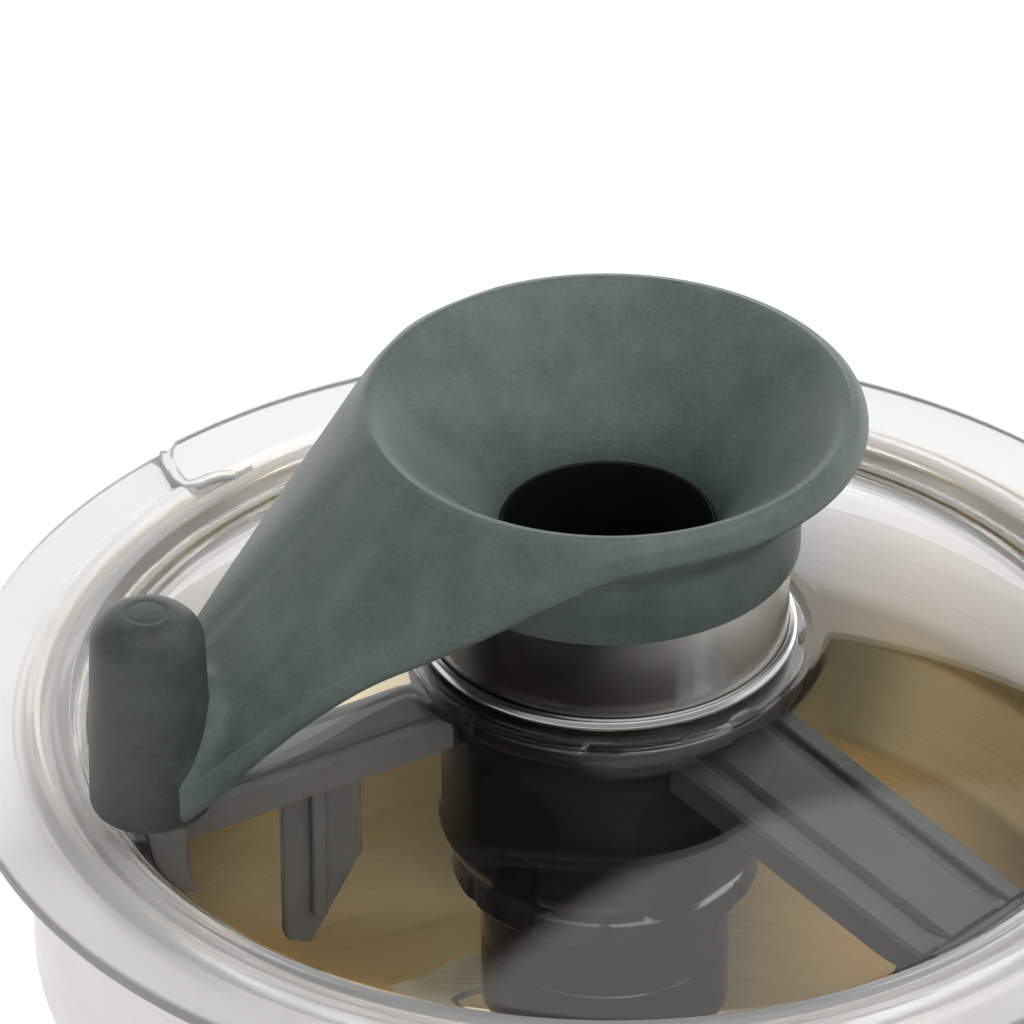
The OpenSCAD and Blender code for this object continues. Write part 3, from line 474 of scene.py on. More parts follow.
def handled_group(name, zoned=False):
    """Handling marks on a smooth face; a zoned one changes colour and dulls beyond a radius from the axis."""
    zones = [("Zone From", "Float", 0.1), ("Zone To", "Float", 0.2), ("Outer", "Color", (0.5, 0.5, 0.5, 1)),
             ("Outer Rough", "Float", 0.1)] if zoned else []
    tree, given, leave = new_group(name, COLOURS_IN + zones + [
        ("Patch", "Float", 34.0), ("Smooth", "Float", 0.08), ("Rough", "Float", 0.22)], FINISH_OUT)
    where, _, radius, _ = about_axis(tree)
    patch = noise_node(tree, where, given["Patch"], 4.0, 0.55)
    hair = noise_node(tree, where, 1400.0, 2.0, 0.5)
    tone = range_node(tree, patch, 0.35, 0.75)
    colour = mix_node(tree, tone, given["Colour"], given["Second"])
    dull = range_node(tree, patch, 0.4, 0.75, given["Smooth"], given["Rough"])
    if zoned:
        zone = range_node(tree, radius, given["Zone From"], given["Zone To"])
        colour = mix_node(tree, zone, colour, given["Outer"])
        dull = add(tree, dull, times(tree, zone, given["Outer Rough"]))
    return put_out(tree, leave, colour, dull, add(tree, times(tree, patch, 0.2), times(tree, hair, 0.8)))


MOULDED = moulded_group()
TURNED = turned_group("turned_streaks")
LINED = turned_group("bowl_streaks", lined=True)
BRUSHED = brushed_group()
HANDLED = handled_group("handled_gloss")
ZONED = handled_group("zoned_gloss", zoned=True)
FINISHES = {}


def finish(slot, effect, colour, second, smooth, rough, bump=0.1, relief=0.0002, metallic=0.0, extra=None,
           shader_values=None):
    """One material: a shared effect drives colour, roughness and bump of its own shader."""
    made = bpy.data.materials.new(slot)
    made.use_nodes = True
    made.diffuse_color = (*colour, 1)
    tree = made.node_tree
    shader = tree.nodes["Principled BSDF"]
    work = tree.nodes.new("ShaderNodeGroup")
    work.node_tree = effect
    work.inputs["Colour"].default_value = (*colour, 1)
    work.inputs["Second"].default_value = (*second, 1)
    work.inputs["Smooth"].default_value = smooth
    work.inputs["Rough"].default_value = rough
    for label, value in (extra or {}).items():
        work.inputs[label].default_value = value
    tree.links.new(work.outputs["Colour"], shader.inputs["Base Color"])
    tree.links.new(work.outputs["Roughness"], shader.inputs["Roughness"])
    shader.inputs["Metallic"].default_value = metallic
    for label, value in (shader_values or {}).items():
        shader.inputs[label].default_value = value
    ridge = tree.nodes.new("ShaderNodeBump")
    ridge.inputs["Strength"].default_value = bump
    ridge.inputs["Distance"].default_value = relief
    tree.links.new(work.outputs["Height"], ridge.inputs["Height"])
    tree.links.new(ridge.outputs["Normal"], shader.inputs["Normal"])
    FINISHES[slot] = made
    return made


def lets_light_through(made, share):
    """A clear piece passes part of the light on, so what lies under it isn't left in full shadow."""
    tree = made.node_tree
    shader = tree.nodes["Principled BSDF"]
    leave = tree.nodes["Material Output"]
    path = tree.nodes.new("ShaderNodeLightPath")
    clear = tree.nodes.new("ShaderNodeBsdfTransparent")
    clear.inputs["Color"].default_value = (share, share, share, 1)
    choose = tree.nodes.new("ShaderNodeMixShader")
    tree.links.new(path.outputs["Is Shadow Ray"], choose.inputs["Fac"])
    tree.links.new(shader.outputs["BSDF"], choose.inputs[1])
    tree.links.new(clear.outputs["BSDF"], choose.inputs[2])
    tree.links.new(choose.outputs["Shader"], leave.inputs["Surface"])


def painted_reflection_by_view(made, dark, low, high, turn):
    """Paints a reflection into a satin metal face's colour: dark seen straight on, a little to one side, and
    pale seen from the side.
    """
    tree = made.node_tree
    shader = tree.nodes["Principled BSDF"]
    base = shader.inputs["Base Color"].links[0].from_socket
    swing = tree.nodes.new("ShaderNodeVectorRotate")
    swing.rotation_type = "Z_AXIS"
    swing.inputs["Angle"].default_value = math.radians(turn)
    tree.links.new(tree.nodes.new("ShaderNodeNewGeometry").outputs["Normal"], swing.inputs["Vector"])
    side = tree.nodes.new("ShaderNodeLayerWeight")
    side.inputs["Blend"].default_value = 0.5
    tree.links.new(swing.outputs["Vector"], side.inputs["Normal"])
    level = range_node(tree, side.outputs["Facing"], low, high, dark, 1.0)
    scale = tree.nodes.new("ShaderNodeVectorMath")
    scale.operation = "SCALE"
    tree.links.new(base, scale.inputs[0])
    tree.links.new(level, scale.inputs["Scale"])
    tree.links.new(scale.outputs["Vector"], shader.inputs["Base Color"])


finish("housing", MOULDED, (0.60, 0.61, 0.60), (0.66, 0.665, 0.655), 0.3, 0.42, 0.06, 0.0003,
       extra={"Grain": 420.0, "Mottle": 18.0}, shader_values={"Coat Weight": 0.25, "Coat Roughness": 0.15})
finish("plate", BRUSHED, (0.42, 0.42, 0.42), (0.55, 0.55, 0.54), 0.35, 0.5, 0.12, metallic=1.0)
finish("foot", MOULDED, (0.018, 0.018, 0.018), (0.035, 0.035, 0.034), 0.65, 0.85, 0.25)
finish("fastener", HANDLED, (0.58, 0.58, 0.57), (0.45, 0.45, 0.44), 0.22, 0.4, 0.1, metallic=1.0)
finish("seat", TURNED, (0.50, 0.51, 0.52), (0.62, 0.63, 0.64), 0.3, 0.45, 0.12, metallic=1.0)
finish("motor_casting", MOULDED, (0.36, 0.37, 0.38), (0.5, 0.51, 0.52), 0.45, 0.65, 0.3, metallic=1.0,
       extra={"Grain": 700.0, "Mottle": 90.0})
finish("winding", TURNED, (0.17, 0.09, 0.045), (0.33, 0.18, 0.09), 0.35, 0.55, 0.5, metallic=0.6,
       extra={"Rings": 900.0})
finish("bearing", TURNED, (0.6, 0.61, 0.62), (0.72, 0.73, 0.74), 0.15, 0.28, 0.06, metallic=1.0)
finish("shaft", TURNED, (0.55, 0.55, 0.55), (0.68, 0.68, 0.68), 0.18, 0.32, 0.08, metallic=1.0)
finish("seal", MOULDED, (0.02, 0.02, 0.02), (0.04, 0.04, 0.04), 0.5, 0.7, 0.15)
finish("panel", BRUSHED, (0.075, 0.078, 0.08), (0.11, 0.113, 0.116), 0.32, 0.46, 0.14, metallic=0.7)
finish("bezel", HANDLED, (0.74, 0.75, 0.76), (0.66, 0.67, 0.68), 0.06, 0.16, 0.03, metallic=1.0)
finish("switch", MOULDED, (0.016, 0.016, 0.017), (0.03, 0.03, 0.031), 0.45, 0.6, 0.15)
finish("board", BRUSHED, (0.012, 0.09, 0.035), (0.02, 0.13, 0.05), 0.3, 0.45, 0.15)
finish("fan", MOULDED, (0.03, 0.03, 0.03), (0.055, 0.055, 0.055), 0.45, 0.6, 0.15)
finish("bowl_steel", LINED, (0.64, 0.63, 0.61), (0.76, 0.75, 0.73), 0.3, 0.42, 0.02, metallic=1.0,
       extra={"Inner": (0.70, 0.59, 0.39, 1), "Inner Second": (0.84, 0.72, 0.49, 1)},
       shader_values={"Anisotropic": 0.8, "Anisotropic Rotation": 0.25})
finish("handle", MOULDED, (0.02, 0.021, 0.021), (0.036, 0.038, 0.038), 0.42, 0.58, 0.3,
       extra={"Grain": 1500.0})
finish("cutter_black", HANDLED, (0.006, 0.006, 0.006), (0.01, 0.01, 0.01), 0.1, 0.22, 0.03)
finish("bush", TURNED, (0.5, 0.34, 0.12), (0.62, 0.45, 0.2), 0.25, 0.4, 0.1, metallic=1.0)
# The blades' steel is kept dark, painted shade that dulls the bright reflection they catch under the lid
finish("blade", BRUSHED, (0.30, 0.29, 0.27), (0.38, 0.37, 0.35), 0.42, 0.52, 0.04, metallic=1.0)
# The third frost is a greyer copy of the rim's, painted shade for the rim's upright edge and the hook
for slot, colour, second, smooth, rough, bump, clear, ior, passed in (
        ("lid_clear", (0.985, 0.99, 0.985), (0.97, 0.975, 0.97), 0.0, 0.012, 0.0005, 1.0, 1.5, 0.86),
        ("rim_frost", (0.95, 0.945, 0.93), (0.91, 0.905, 0.89), 0.18, 0.28, 0.004, 0.68, 1.45, 0.7),
        ("frost_painted_shade", (0.44, 0.435, 0.42), (0.39, 0.385, 0.37), 0.25, 0.35, 0.004, 0.3, 1.45, 0.6)):
    made = finish(slot, HANDLED, colour, second, smooth, rough, bump,
                  shader_values={"Transmission Weight": clear, "IOR": ior})
    lets_light_through(made, passed)
finish("collar_satin", HANDLED, (0.64, 0.635, 0.61), (0.66, 0.655, 0.63), 0.22, 0.26, 0.001, metallic=1.0)
# The collar's colour carries a painted reflection: dark seen straight on, pale towards its sides
painted_reflection_by_view(FINISHES["collar_satin"], 0.06, 0.185, 0.5, 20.0)
# The collar's foot takes a paler copy of its finish, a painted highlight along the rolled foot
finish("collar_painted_highlight", HANDLED, (0.78, 0.775, 0.75), (0.74, 0.735, 0.71), 0.2, 0.28, 0.001, metallic=1.0)
finish("silicone", MOULDED, (0.62, 0.63, 0.61), (0.7, 0.71, 0.69), 0.45, 0.6, 0.08)
finish("funnel_green", MOULDED, (0.069, 0.096, 0.079), (0.145, 0.186, 0.161), 0.42, 0.6, 0.36, 0.00025,
       extra={"Grain": 1700.0, "Mottle": 85.0}, shader_values={"Coat Weight": 0.12, "Coat Roughness": 0.3})
# The knob takes a darker copy of the funnel's green, painted shade on its upright sides
finish("knob_painted_shade", MOULDED, (0.036, 0.045, 0.038), (0.076, 0.096, 0.082), 0.4, 0.58, 0.3, 0.00025,
       extra={"Grain": 1100.0, "Mottle": 110.0})
# Beyond the hub, the paddle arm's copy of the scraper finish is paler than the wide arms': painted light and
# painted shade on one plastic
for slot, outer in (("scraper_black", (0.028, 0.028, 0.026, 1)), ("arm_painted_lit", (0.15, 0.147, 0.138, 1))):
    finish(slot, ZONED, (0.007, 0.007, 0.007), (0.012, 0.012, 0.012), 0.16, 0.3, 0.008,
           extra={"Zone From": 0.0318, "Zone To": 0.0324, "Outer": outer, "Outer Rough": 0.15},
           shader_values={"Specular IOR Level": 0.15})
finish("wiper", MOULDED, (0.016, 0.016, 0.016), (0.03, 0.03, 0.03), 0.45, 0.62, 0.15)
finish("green_button", HANDLED, (0.012, 0.19, 0.06), (0.02, 0.24, 0.08), 0.18, 0.3, 0.05)
finish("red_button", HANDLED, (0.36, 0.014, 0.012), (0.44, 0.025, 0.02), 0.18, 0.3, 0.05)
finish("grey_button", HANDLED, (0.05, 0.052, 0.055), (0.08, 0.082, 0.085), 0.2, 0.32, 0.05)
finish("dial", MOULDED, (0.018, 0.019, 0.019), (0.034, 0.035, 0.035), 0.4, 0.55, 0.2, extra={"Grain": 1600.0})
finish("white_mark", MOULDED, (0.72, 0.72, 0.7), (0.8, 0.8, 0.78), 0.45, 0.6, 0.1)


def dressed(piece, slot, body, *nodes, look=None):
    """Gives a piece its finish, the body it rides on and the nodes that it stands for."""
    piece.data.materials.clear()
    piece.data.materials.append(FINISHES[look or slot])
    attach(piece, body)
    if nodes:
        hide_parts(*nodes)
    return piece


# Funnel and lever: one skin swept round the axis, from the throat over the lip to the lever's edge

KNOB_AT = 91.4
LIP_R = 43.6
LIP_TOP = 65.4
EDGE_PLACES = [(0, 46.8, 65.3), (10, 45.7, 64.8), (20, 43.2, 63.4), (30, 39.0, 58.6), (40, 34.3, 52.6),
               (50, 29.2, 46.8), (60, 23.9, 41.0), (70, 19.6, 33.8), (80, 15.6, 25.2), (86, 13.2, 19.6),
               (88, 12.4, 17.8), (90, 11.6, 16.2), (KNOB_AT, 11.0, 15.2)]
EDGE_REACH = [(math.degrees(math.atan2(w, s)), math.hypot(s, w)) for s, w, z in reversed(EDGE_PLACES)]
EDGE_HEIGHT = [(math.degrees(math.atan2(w, s)), z) for s, w, z in reversed(EDGE_PLACES)]
EDGE_DEPTH = [(0, 5.2), (52, 5.2), (66, 5.2), (78, 5.8), (86, 7.0), (KNOB_AT + 10, 7.4)]
TIP_ANGLE = EDGE_REACH[0][0]
EDGE_ROUND = 1.3
LIP_ROUND = 1.9
SKIN_STEPS = 52
UNDER_STEPS = 24
LIP_DEPTH = 6.8
FUNNEL_INSIDE = [(19.3, -10), (19.3, 14), (19.3, 34), (19.5, 38), (20.1, 41), (21.3, 43.8), (23.4, 46.8),
                 (26.2, 50), (29.4, 53.2), (32.6, 56.3), (35.4, 59.0), (37.8, 61.2), (39.8, 63.0),
                 (41.3, 64.3), (42.5, 65.1)]
FUNNEL_NECK = [(40.5, 55.6), (38.0, 52.9), (36.2, 51.0), (35.3, 49.4), (35.1, 47.5), (35.1, 37.0),
               (34.8, 36.5), (33.9, 36.4), (33.6, 36.7), (33.6, 45.7), (30.55, 45.7), (30.55, 20.9),
               (30.2, 20.4), (28.4, 20.4), (28.15, 20.8), (28.15, 44.6), (22.3, 37.4), (22.3, -9.6),
               (21.9, -10)]
KNOB_FOOT_R = 10.6
FILLET = 6.5
# A column's points that the fillet may raise: the upper skin clear of the lip, and the upper edge
FILLET_POINTS = range(28, len(FUNNEL_INSIDE) + SKIN_STEPS + 6)


def lever_edge(turn):
    """Reach and height of the skin's edge at an angle from the lever's middle line."""
    turn = abs(turn)
    if turn >= 90:
        return EDGE_PLACES[0][1:]
    if turn <= TIP_ANGLE:
        return KNOB_AT / math.cos(math.radians(turn)), EDGE_HEIGHT[0][1]
    return between(EDGE_REACH, turn), between(EDGE_HEIGHT, turn)


def funnel_column(turn):
    """Outline of the funnel and lever in the upright plane at that angle, as (radius, height)."""
    reach, edge_z = lever_edge(turn)
    depth = between(EDGE_DEPTH, reach * math.cos(math.radians(turn)))
    swell = min(max((abs(turn) - 40) / 50, 0.0), 1.0)
    top_round = EDGE_ROUND + LIP_ROUND * swell * swell * (3 - 2 * swell)
    drop = LIP_TOP - edge_z
    tilt = math.atan(drop / (reach - LIP_R - top_round / 2))
    far = reach - top_round * (1 - math.sin(tilt))
    span = far - LIP_R
    power = 1 - 0.15 * min(span, 50) / 50
    flat = 2.5 / max(span, 5.0)
    skin = []
    for k in range(SKIN_STEPS + 1):
        share = 1 - (1 - k / SKIN_STEPS) ** 1.3
        slide = (math.sqrt(share**2 + flat**2) - flat) / (math.sqrt(1 + flat**2) - flat)
        skin.append((LIP_R + span * share, LIP_TOP - drop * slide**power))
    edge = [(reach - top_round * (1 - math.sin(a)), edge_z - top_round * (math.cos(tilt) - math.cos(a)))
            for a in (tilt + (math.pi / 2 - tilt) * k / 5 for k in range(1, 6))]
    low_z = edge_z - depth
    edge += [(reach, edge_z - (top_round * math.cos(tilt) + depth - EDGE_ROUND) / 2)]
    edge += [(reach - EDGE_ROUND * (1 - math.cos(a)), low_z + EDGE_ROUND * (1 - math.sin(a)))
             for a in (math.radians(18 * k) for k in range(6))]
    under = []
    for k in range(1, UNDER_STEPS + 1):
        share = 1 - k / UNDER_STEPS
        r = LIP_R - 0.6 + (far - LIP_R + 0.6) * share
        top = LIP_TOP - drop * max((r - LIP_R) / max(span, 0.01), 0) ** power
        under.append((r, top - depth - (LIP_DEPTH - depth) * (1 - share)))
    return FUNNEL_INSIDE + skin + edge + under + FUNNEL_NECK + [FUNNEL_INSIDE[0]]


def knob_fillet(along, across, height):
    """Raises the lever's skin in a hollow fillet where it meets the knob."""
    away = math.hypot(along - KNOB_AT, across) - KNOB_FOOT_R
    if away >= FILLET:
        return height
    inward = min(max((12.0 - abs(across)) / 5.0, 0.0), 1.0)
    return height + FILLET * 0.8 * inward * (1 - max(away, 0.0) / FILLET) ** 2.2


def funnel_skin():
    """The columns at all angles, closer together along the lever."""
    turns = []
    turn = -180.0
    while turn <= 180.0001:
        turns.append(turn)
        middle = abs(turn + 0.3)
        turn += 0.6 if middle < 15 else 1.0 if middle < 24 else 1.5 if middle < 90 else 3.0
    turns[-1] = 180.0
    rows = []
    for turn in turns:
        row = []
        for k, (r, z) in enumerate(funnel_column(turn)):
            along, across = polar(r, turn)
            if k in FILLET_POINTS:
                z = knob_fillet(along, across, z)
            row.append((along, across, z))
        rows.append(row)
    return about_lid(lofted("funnel_lever", rows), LEVER_AZ)


def knob_piece():
    outline = [(0, 5.9), (8.8, 5.9)] + arc((8.8, 8.3), 2.4, -90, 0, 5)
    outline += [(11.1, 16.0), (10.85, 26.0), (10.5, 35.0)]
    outline += arc((3.7, 40.8), 6.6, 0, 90, 12) + [(3.5, 47.32), (3.2, 47.4), (0, 47.4)]
    knob = turned("knob", outline, 72, at=(KNOB_AT, 0.0), closed=False)
    return about_lid(knob, LEVER_AZ)


dressed(funnel_skin(), "funnel_green", "lever", "funnel_lever")
# The knob wears the darker copy of the funnel's green, painted shade
dressed(knob_piece(), "funnel_green", "lever", look="knob_painted_shade")

# The black sleeve that lines the throat
sleeve = turned("throat_sleeve", rounded([
    (18.4, -9.8), (19.2, -9.8), (19.2, 36.0), (19.45, 39.6), (19.7, 40.4, 0.2), (19.0, 40.2, 0.3),
    (18.4, 37.2)]), 96, lift=LID_Z)
dressed(sleeve, "scraper_black", "lever")

# Lid: a clear dome in a frosted rim with its skirt, groove and raised rear lug, one closed mesh

DOME_R = 212.7
DOME_Z = -191.95
DOME_WALL = 3.0
DOME_FROM = 38.6
DOME_TO = 93.4
DOME_TO_UNDER = 92.0
DOME_STEPS = 22
CLEAR_R = 98.7
EDGE_R = 119.2


def dome_height(r, under=0.0):
    return DOME_Z + math.sqrt((DOME_R - under) ** 2 - r**2)


top_dome = []
low_dome = []
for k in range(DOME_STEPS + 1):
    r = DOME_FROM + (DOME_TO - DOME_FROM) * k / DOME_STEPS
    top_dome.append((r, dome_height(r)))
    r = DOME_TO_UNDER - (DOME_TO_UNDER - DOME_FROM) * k / DOME_STEPS
    low_dome.append((r, dome_height(r, DOME_WALL)))
rim_line = rounded([
    (DOME_TO, dome_height(DOME_TO)), (95.6, -1.75, 1.2), (98.8, 1.5, 1.2), (101.0, 1.7, 0.9),
    (102.2, 0.9, 1.0), (104.2, 0.9, 1.0), (105.2, 1.7, 0.8), (106.6, 1.7, 1.0), (109.2, 0.0, 1.4),
    (120.0, 0.0, 1.0), (120.0, -3.0, 1.0), (102.5, -3.0, 0.6), (102.5, -8.7, 0.2), (101.7, -8.7),
    (101.7, -13.3),
    (102.5, -13.3, 0.2), (102.5, -17.0, 0.8), (99.5, -17.0, 0.8), (99.5, -2.4, 1.0), (94.2, -4.75, 0.8),
    (DOME_TO_UNDER, dome_height(DOME_TO_UNDER, DOME_WALL))])
seat_lip = rounded([
    (DOME_FROM, dome_height(DOME_FROM, DOME_WALL)), (37.6, 14.0, 0.6), (32.4, 14.0, 0.2), (32.4, 17.0, 0.2),
    (37.6, 17.0, 0.6), (DOME_FROM, dome_height(DOME_FROM))])
lid = turned("lid", seat_lip + top_dome[1:] + rim_line[1:] + low_dome[1:-1], 180, lift=LID_Z)

# The lug on the far half of the rim ends in a raised hook
HOOK_HALF = 1.3
LUG_OUT = 119.6
LUG_IN = 101.6
lug_end = [(LUG_OUT, 134.6), (117.6, 136.4), (115.4, 137.4), (112.0, 138.4), (109.0, 139.2), (106.6, 139.4),
           (105.2, 138.4), (104.9, 136.8), (103.9, 135.4), (102.6, 134.6), (LUG_IN, 134.2)]
lug_plan = [(LUG_OUT, a) for a in range(25, 134, 3)] + lug_end + [(LUG_IN, a) for a in range(132, 24, -3)]
lug = raised("lug", [polar(r, a, AXIS_Y) for r, a in lug_plan], LID_Z - 1.5, LID_Z + 1.72)
eased(lug, lambda middle, way: middle.z > LID_Z + 1.6, 1.3, 5)
shaped(lid, lug, "UNION")
hook_line = [Vector(polar(r, a, AXIS_Y)) for r, a in lug_end[1:]]
hook_last = len(hook_line) - 1
hook_plan = []
for way in (1, -1):
    for i, spot in list(enumerate(hook_line))[::way]:
        ahead = (hook_line[min(i + 1, hook_last)] - hook_line[max(i - 1, 0)]).normalized()
        hook_plan.append(spot + way * HOOK_HALF * Vector((-ahead.y, ahead.x)))
hook = raised("hook", hook_plan, LID_Z - 0.6, LID_Z + 1.95)
eased(hook, lambda middle, way: middle.z > LID_Z + 1.85, 0.6, 3)
shaped(lid, hook, "UNION")

# Three finishes by face: the clear dome, the frosted rim, and a greyer copy of the frost on the upright edge
# and the hook, which is painted shade
dressed(lid, "lid_clear", "lid", "lid")
lid.data.materials.append(FINISHES["rim_frost"])
lid.data.materials.append(FINISHES["frost_painted_shade"])
CLEAR, FROST, EDGE = range(3)
for face in lid.data.polygons:
    spot = face.center / MM - Vector((0, AXIS_Y, LID_Z))
    reach = math.hypot(spot.x, spot.y)
    turn = math.degrees(math.atan2(spot.y, spot.x))
    on_plan = Vector((spot.x, spot.y + AXIS_Y))
    near_hook = min((on_plan - place).length for place in hook_line) < 1.6 * HOOK_HALF
    upright = abs(face.normal.z) < 0.9
    lug_face = 133.0 < turn < 141.0 and spot.z > -0.5 and (upright or near_hook)
    edge_face = reach > EDGE_R and abs(face.normal.z) < 0.75
    face.material_index = CLEAR if reach < CLEAR_R else EDGE if lug_face or edge_face else FROST

# Satin collar with a rolled foot; the collar's colour holds a painted reflection, the foot's a painted
# highlight
collar = turned("lid_collar", rounded([
    (30.6, 45.4, 0.6), (30.6, 17.3, 0.4), (33.3, 17.3, 0.2), (33.3, 45.4, 0.8)]), 144, lift=LID_Z)
dressed(collar, "collar_satin", "lid", "lid_collar")
# The foot wears the paler copy of the collar's finish, a painted highlight
collar_foot = turned("collar_foot", rounded([
    (33.35, 17.3, 0.2), (34.4, 17.3, 0.7), (35.2, 18.3, 0.8), (34.5, 19.4, 0.7), (33.35, 19.8, 0.3)]), 144,
    lift=LID_Z)
dressed(collar_foot, "collar_satin", "lid", look="collar_painted_highlight")
thread = turned("collar_thread", rounded([
    (30.6, 17.2), (30.6, 8.9, 0.4), (31.5, 8.9, 0.4), (32.0, 9.6, 0.2), (32.0, 10.4, 0.2), (31.6, 11.0, 0.2),
    (32.0, 11.6, 0.2), (32.0, 12.4, 0.2), (31.6, 13.0, 0.2), (32.0, 13.6, 0.2), (32.0, 17.2)]), 96,
    lift=LID_Z)
dressed(thread, "lid_clear", "lid", look="cutter_black")

# Nut with eight notches
nut_plan = []
for i in range(8):
    for start, end, r in ((0, 33, 36.9), (36, 42, 35.3)):
        for k in range(7):
            nut_plan.append(polar(r, 45 * i + start + (end - start) * k / 6 + 4.5, AXIS_Y))
nut = raised("collar_nut", nut_plan, LID_Z + 9.8, LID_Z + 13.75)
shaped(nut, plug(32.1, LID_Z + 5, LID_Z + 20, 96, ON_AXIS))
softened(nut, 0.5, 2)
dressed(nut, "lid_clear", "lid", "collar_nut", look="cutter_black")

seal = turned("lid_seal", rounded([(101.75, -13.0, 0.3), (104.3, -13.0, 0.6), (105.15, -11.0, 0.8),
                                   (104.3, -9.0, 0.6), (101.75, -9.0, 0.3)]), 160, lift=LID_Z)
dressed(seal, "silicone", "lid_seal", "lid_seal")

# Scraper: a hub with arched recesses, three channel arms that follow the dome with their posts, and a paddle

hub = turned("scraper", rounded([
    (22.4, 8.6, 0.4), (22.4, -10.0, 0.3), (27.5, -10.0, 0.5), (27.5, -28.0, 0.6), (29.6, -28.0, 1.6),
    (31.0, -24.5, 3.0), (31.0, 7.2, 1.8), (30.2, 8.6, 1.0)]), 144, lift=LID_Z)
arch_plan = [(-8.6, -18.0), (-7.6, -20.0), (7.6, -20.0), (8.6, -18.0), (8.6, -8.0)]
arch_plan += arc((0, -8.0), 8.6, 0, 180, 16)[1:]
slot_plan = [(-5.0, -30.0), (5.0, -30.0), (5.0, -19.5), (4.0, -18.2), (-4.0, -18.2), (-5.0, -19.5)]
STAND = Matrix(((0, 0, 1, 0), (1, 0, 0, 0), (0, 1, 0, 0), (0, 0, 0, 1)))
for i in range(6):
    for plan, deep in ((arch_plan, 29.5), (slot_plan, 24.0)):
        tool = settled(raised("tool", plan, deep, 40.0), STAND)
        shaped(hub, about_lid(tool, LEVER_AZ + 30 + 60 * i))
softened(hub, 0.5, 2, 50)

ARM_FROM = (28.0, 7.6)
ARM_TO = (89.5, -5.5)
ARM_END = 89.4
ARM_STEPS = 12


def arm_height(r):
    return ARM_FROM[1] + (ARM_TO[1] - ARM_FROM[1]) * (r - ARM_FROM[0]) / (ARM_TO[0] - ARM_FROM[0])


def arm_section(r, half, ledge, groove):
    """Outline across an arm at radius r: a crowned web between two grooves and two side ledges."""
    top = arm_height(r)
    right = [(0.0, 0.0), (half - ledge - groove - 0.8, -0.1), (half - ledge - groove, -0.7),
             (half - ledge - groove + 0.5, -1.7), (half - ledge - 0.4, -1.7), (half - ledge, -0.6),
             (half - ledge + 0.5, -0.3), (half - 0.8, -0.4), (half, -1.2), (half, -6.9), (half - 2.8, -6.9),
             (half - 3.0, -4.1)]
    left = [(-y, z) for y, z in reversed(right[1:])]
    return [(r, y, top + z) for y, z in right + left]


def arm_piece(half, ledge, groove):
    rows = []
    for k in range(ARM_STEPS + 1):
        section = arm_section(ARM_FROM[0] + (ARM_END - ARM_FROM[0]) * k / ARM_STEPS, half, ledge, groove)
        rows.append(section + [section[0]])
    arm = capped(lofted("arm", rows))
    post = cube("post", (81.8, -11.9, -21.5), (89.5, 11.9, -6.2))
    softened(post, 1.2, 3)
    return joined("arm", [arm, post])


paddle_plan = [(47.0, -2.0), (47.0, -24.0), (57.0, -43.0), (62.0, -43.0), (62.0, -2.0)]
UPRIGHT = Matrix(((1, 0, 0, 0), (0, 0, -1, 0), (0, 1, 0, 0), (0, 0, 0, 1)))
paddle = softened(settled(raised("paddle", paddle_plan, -1.5, 1.5), UPRIGHT), 0.6, 2)
rib = softened(cube("rib", (54.0, 0.0, -36.0), (57.0, 3.5, -1.5)), 0.8, 3)
slim_arm = joined("arm", [arm_piece(7.5, 2.2, 1.2), paddle, rib])
wide_arm = arm_piece(14.0, 4.4, 3.0)
arms = [about_lid(copied(wide_arm, "arm_turned"), ARM_AZ + 120), about_lid(wide_arm, ARM_AZ + 240)]
scraper = joined("scraper", [hub] + arms)
dressed(close_up(scraper), "scraper_black", "lever", "scraper")
slim_arm = about_lid(slim_arm, ARM_AZ)
slim_arm.name = "scraper_paddle_arm"
# The paddle arm wears the paler, painted-light copy of the scraper's finish
dressed(close_up(slim_arm), "scraper_black", "lever", look="arm_painted_lit")

# Wipers on the arms' ends, with a lip that runs along the bowl wall
wiper_plan = [(89.75, -11.9), (92.6, -11.9), (92.6, -1.2), (93.4, 0.0)]
wiper_plan += [polar(95.6, a) for a in (0.6, 2, 4, 6, 7)]
wiper_plan += [(94.6, 11.8), (89.75, 11.9)]
wiper = softened(raised("wiper", wiper_plan, -92.0, -6.6), 0.6, 2)
for i in range(3):
    name = "wall_wiper_%d" % (i + 1)
    dressed(about_lid(copied(wiper, name), ARM_AZ + 120 * i), "wiper", "lever", name)
bpy.data.objects.remove(wiper)

# Cutter: fluted grip over a smooth column and shoulder, two sickle blades and a spacer

grip = rounded([
    (0, 338.0), (26.4, 338.0, 1.2), (28.0, 336.6, 1.2), (28.6, 332.6, 0.7), (27.9, 331.9, 0.4),
    (23.6, 331.6, 1.0), (23.25, 329.0, 0.6), (23.25, 317.6, 0.3), (22.8, 317.2, 0.2), (23.2, 316.8, 0.3),
    (23.2, 253.8, 0.4), (27.2, 253.4, 0.8), (27.2, 248.9, 0.5), (23.2, 248.8), (23.2, 205.0, 0.5),
    (18.0, 204.9), (18.0, 277.8), (12.0, 277.8), (12.0, 294.0), (0, 294.0)])
cutter = turned("cutter_hub", grip, 128, closed=False)
for i in range(12):
    shaped(cutter, plug(3.0, 328.0, 339.0, 20, polar(30.6, 30 * i, AXIS_Y)))
dressed(cutter, "cutter_black", "cutter", "cutter_hub")

WING_X = 46.0
WING_R = 45.9
HOLLOW_Y = -15.0
HOLLOW_R = 46.0
BLADE_T = 2.0


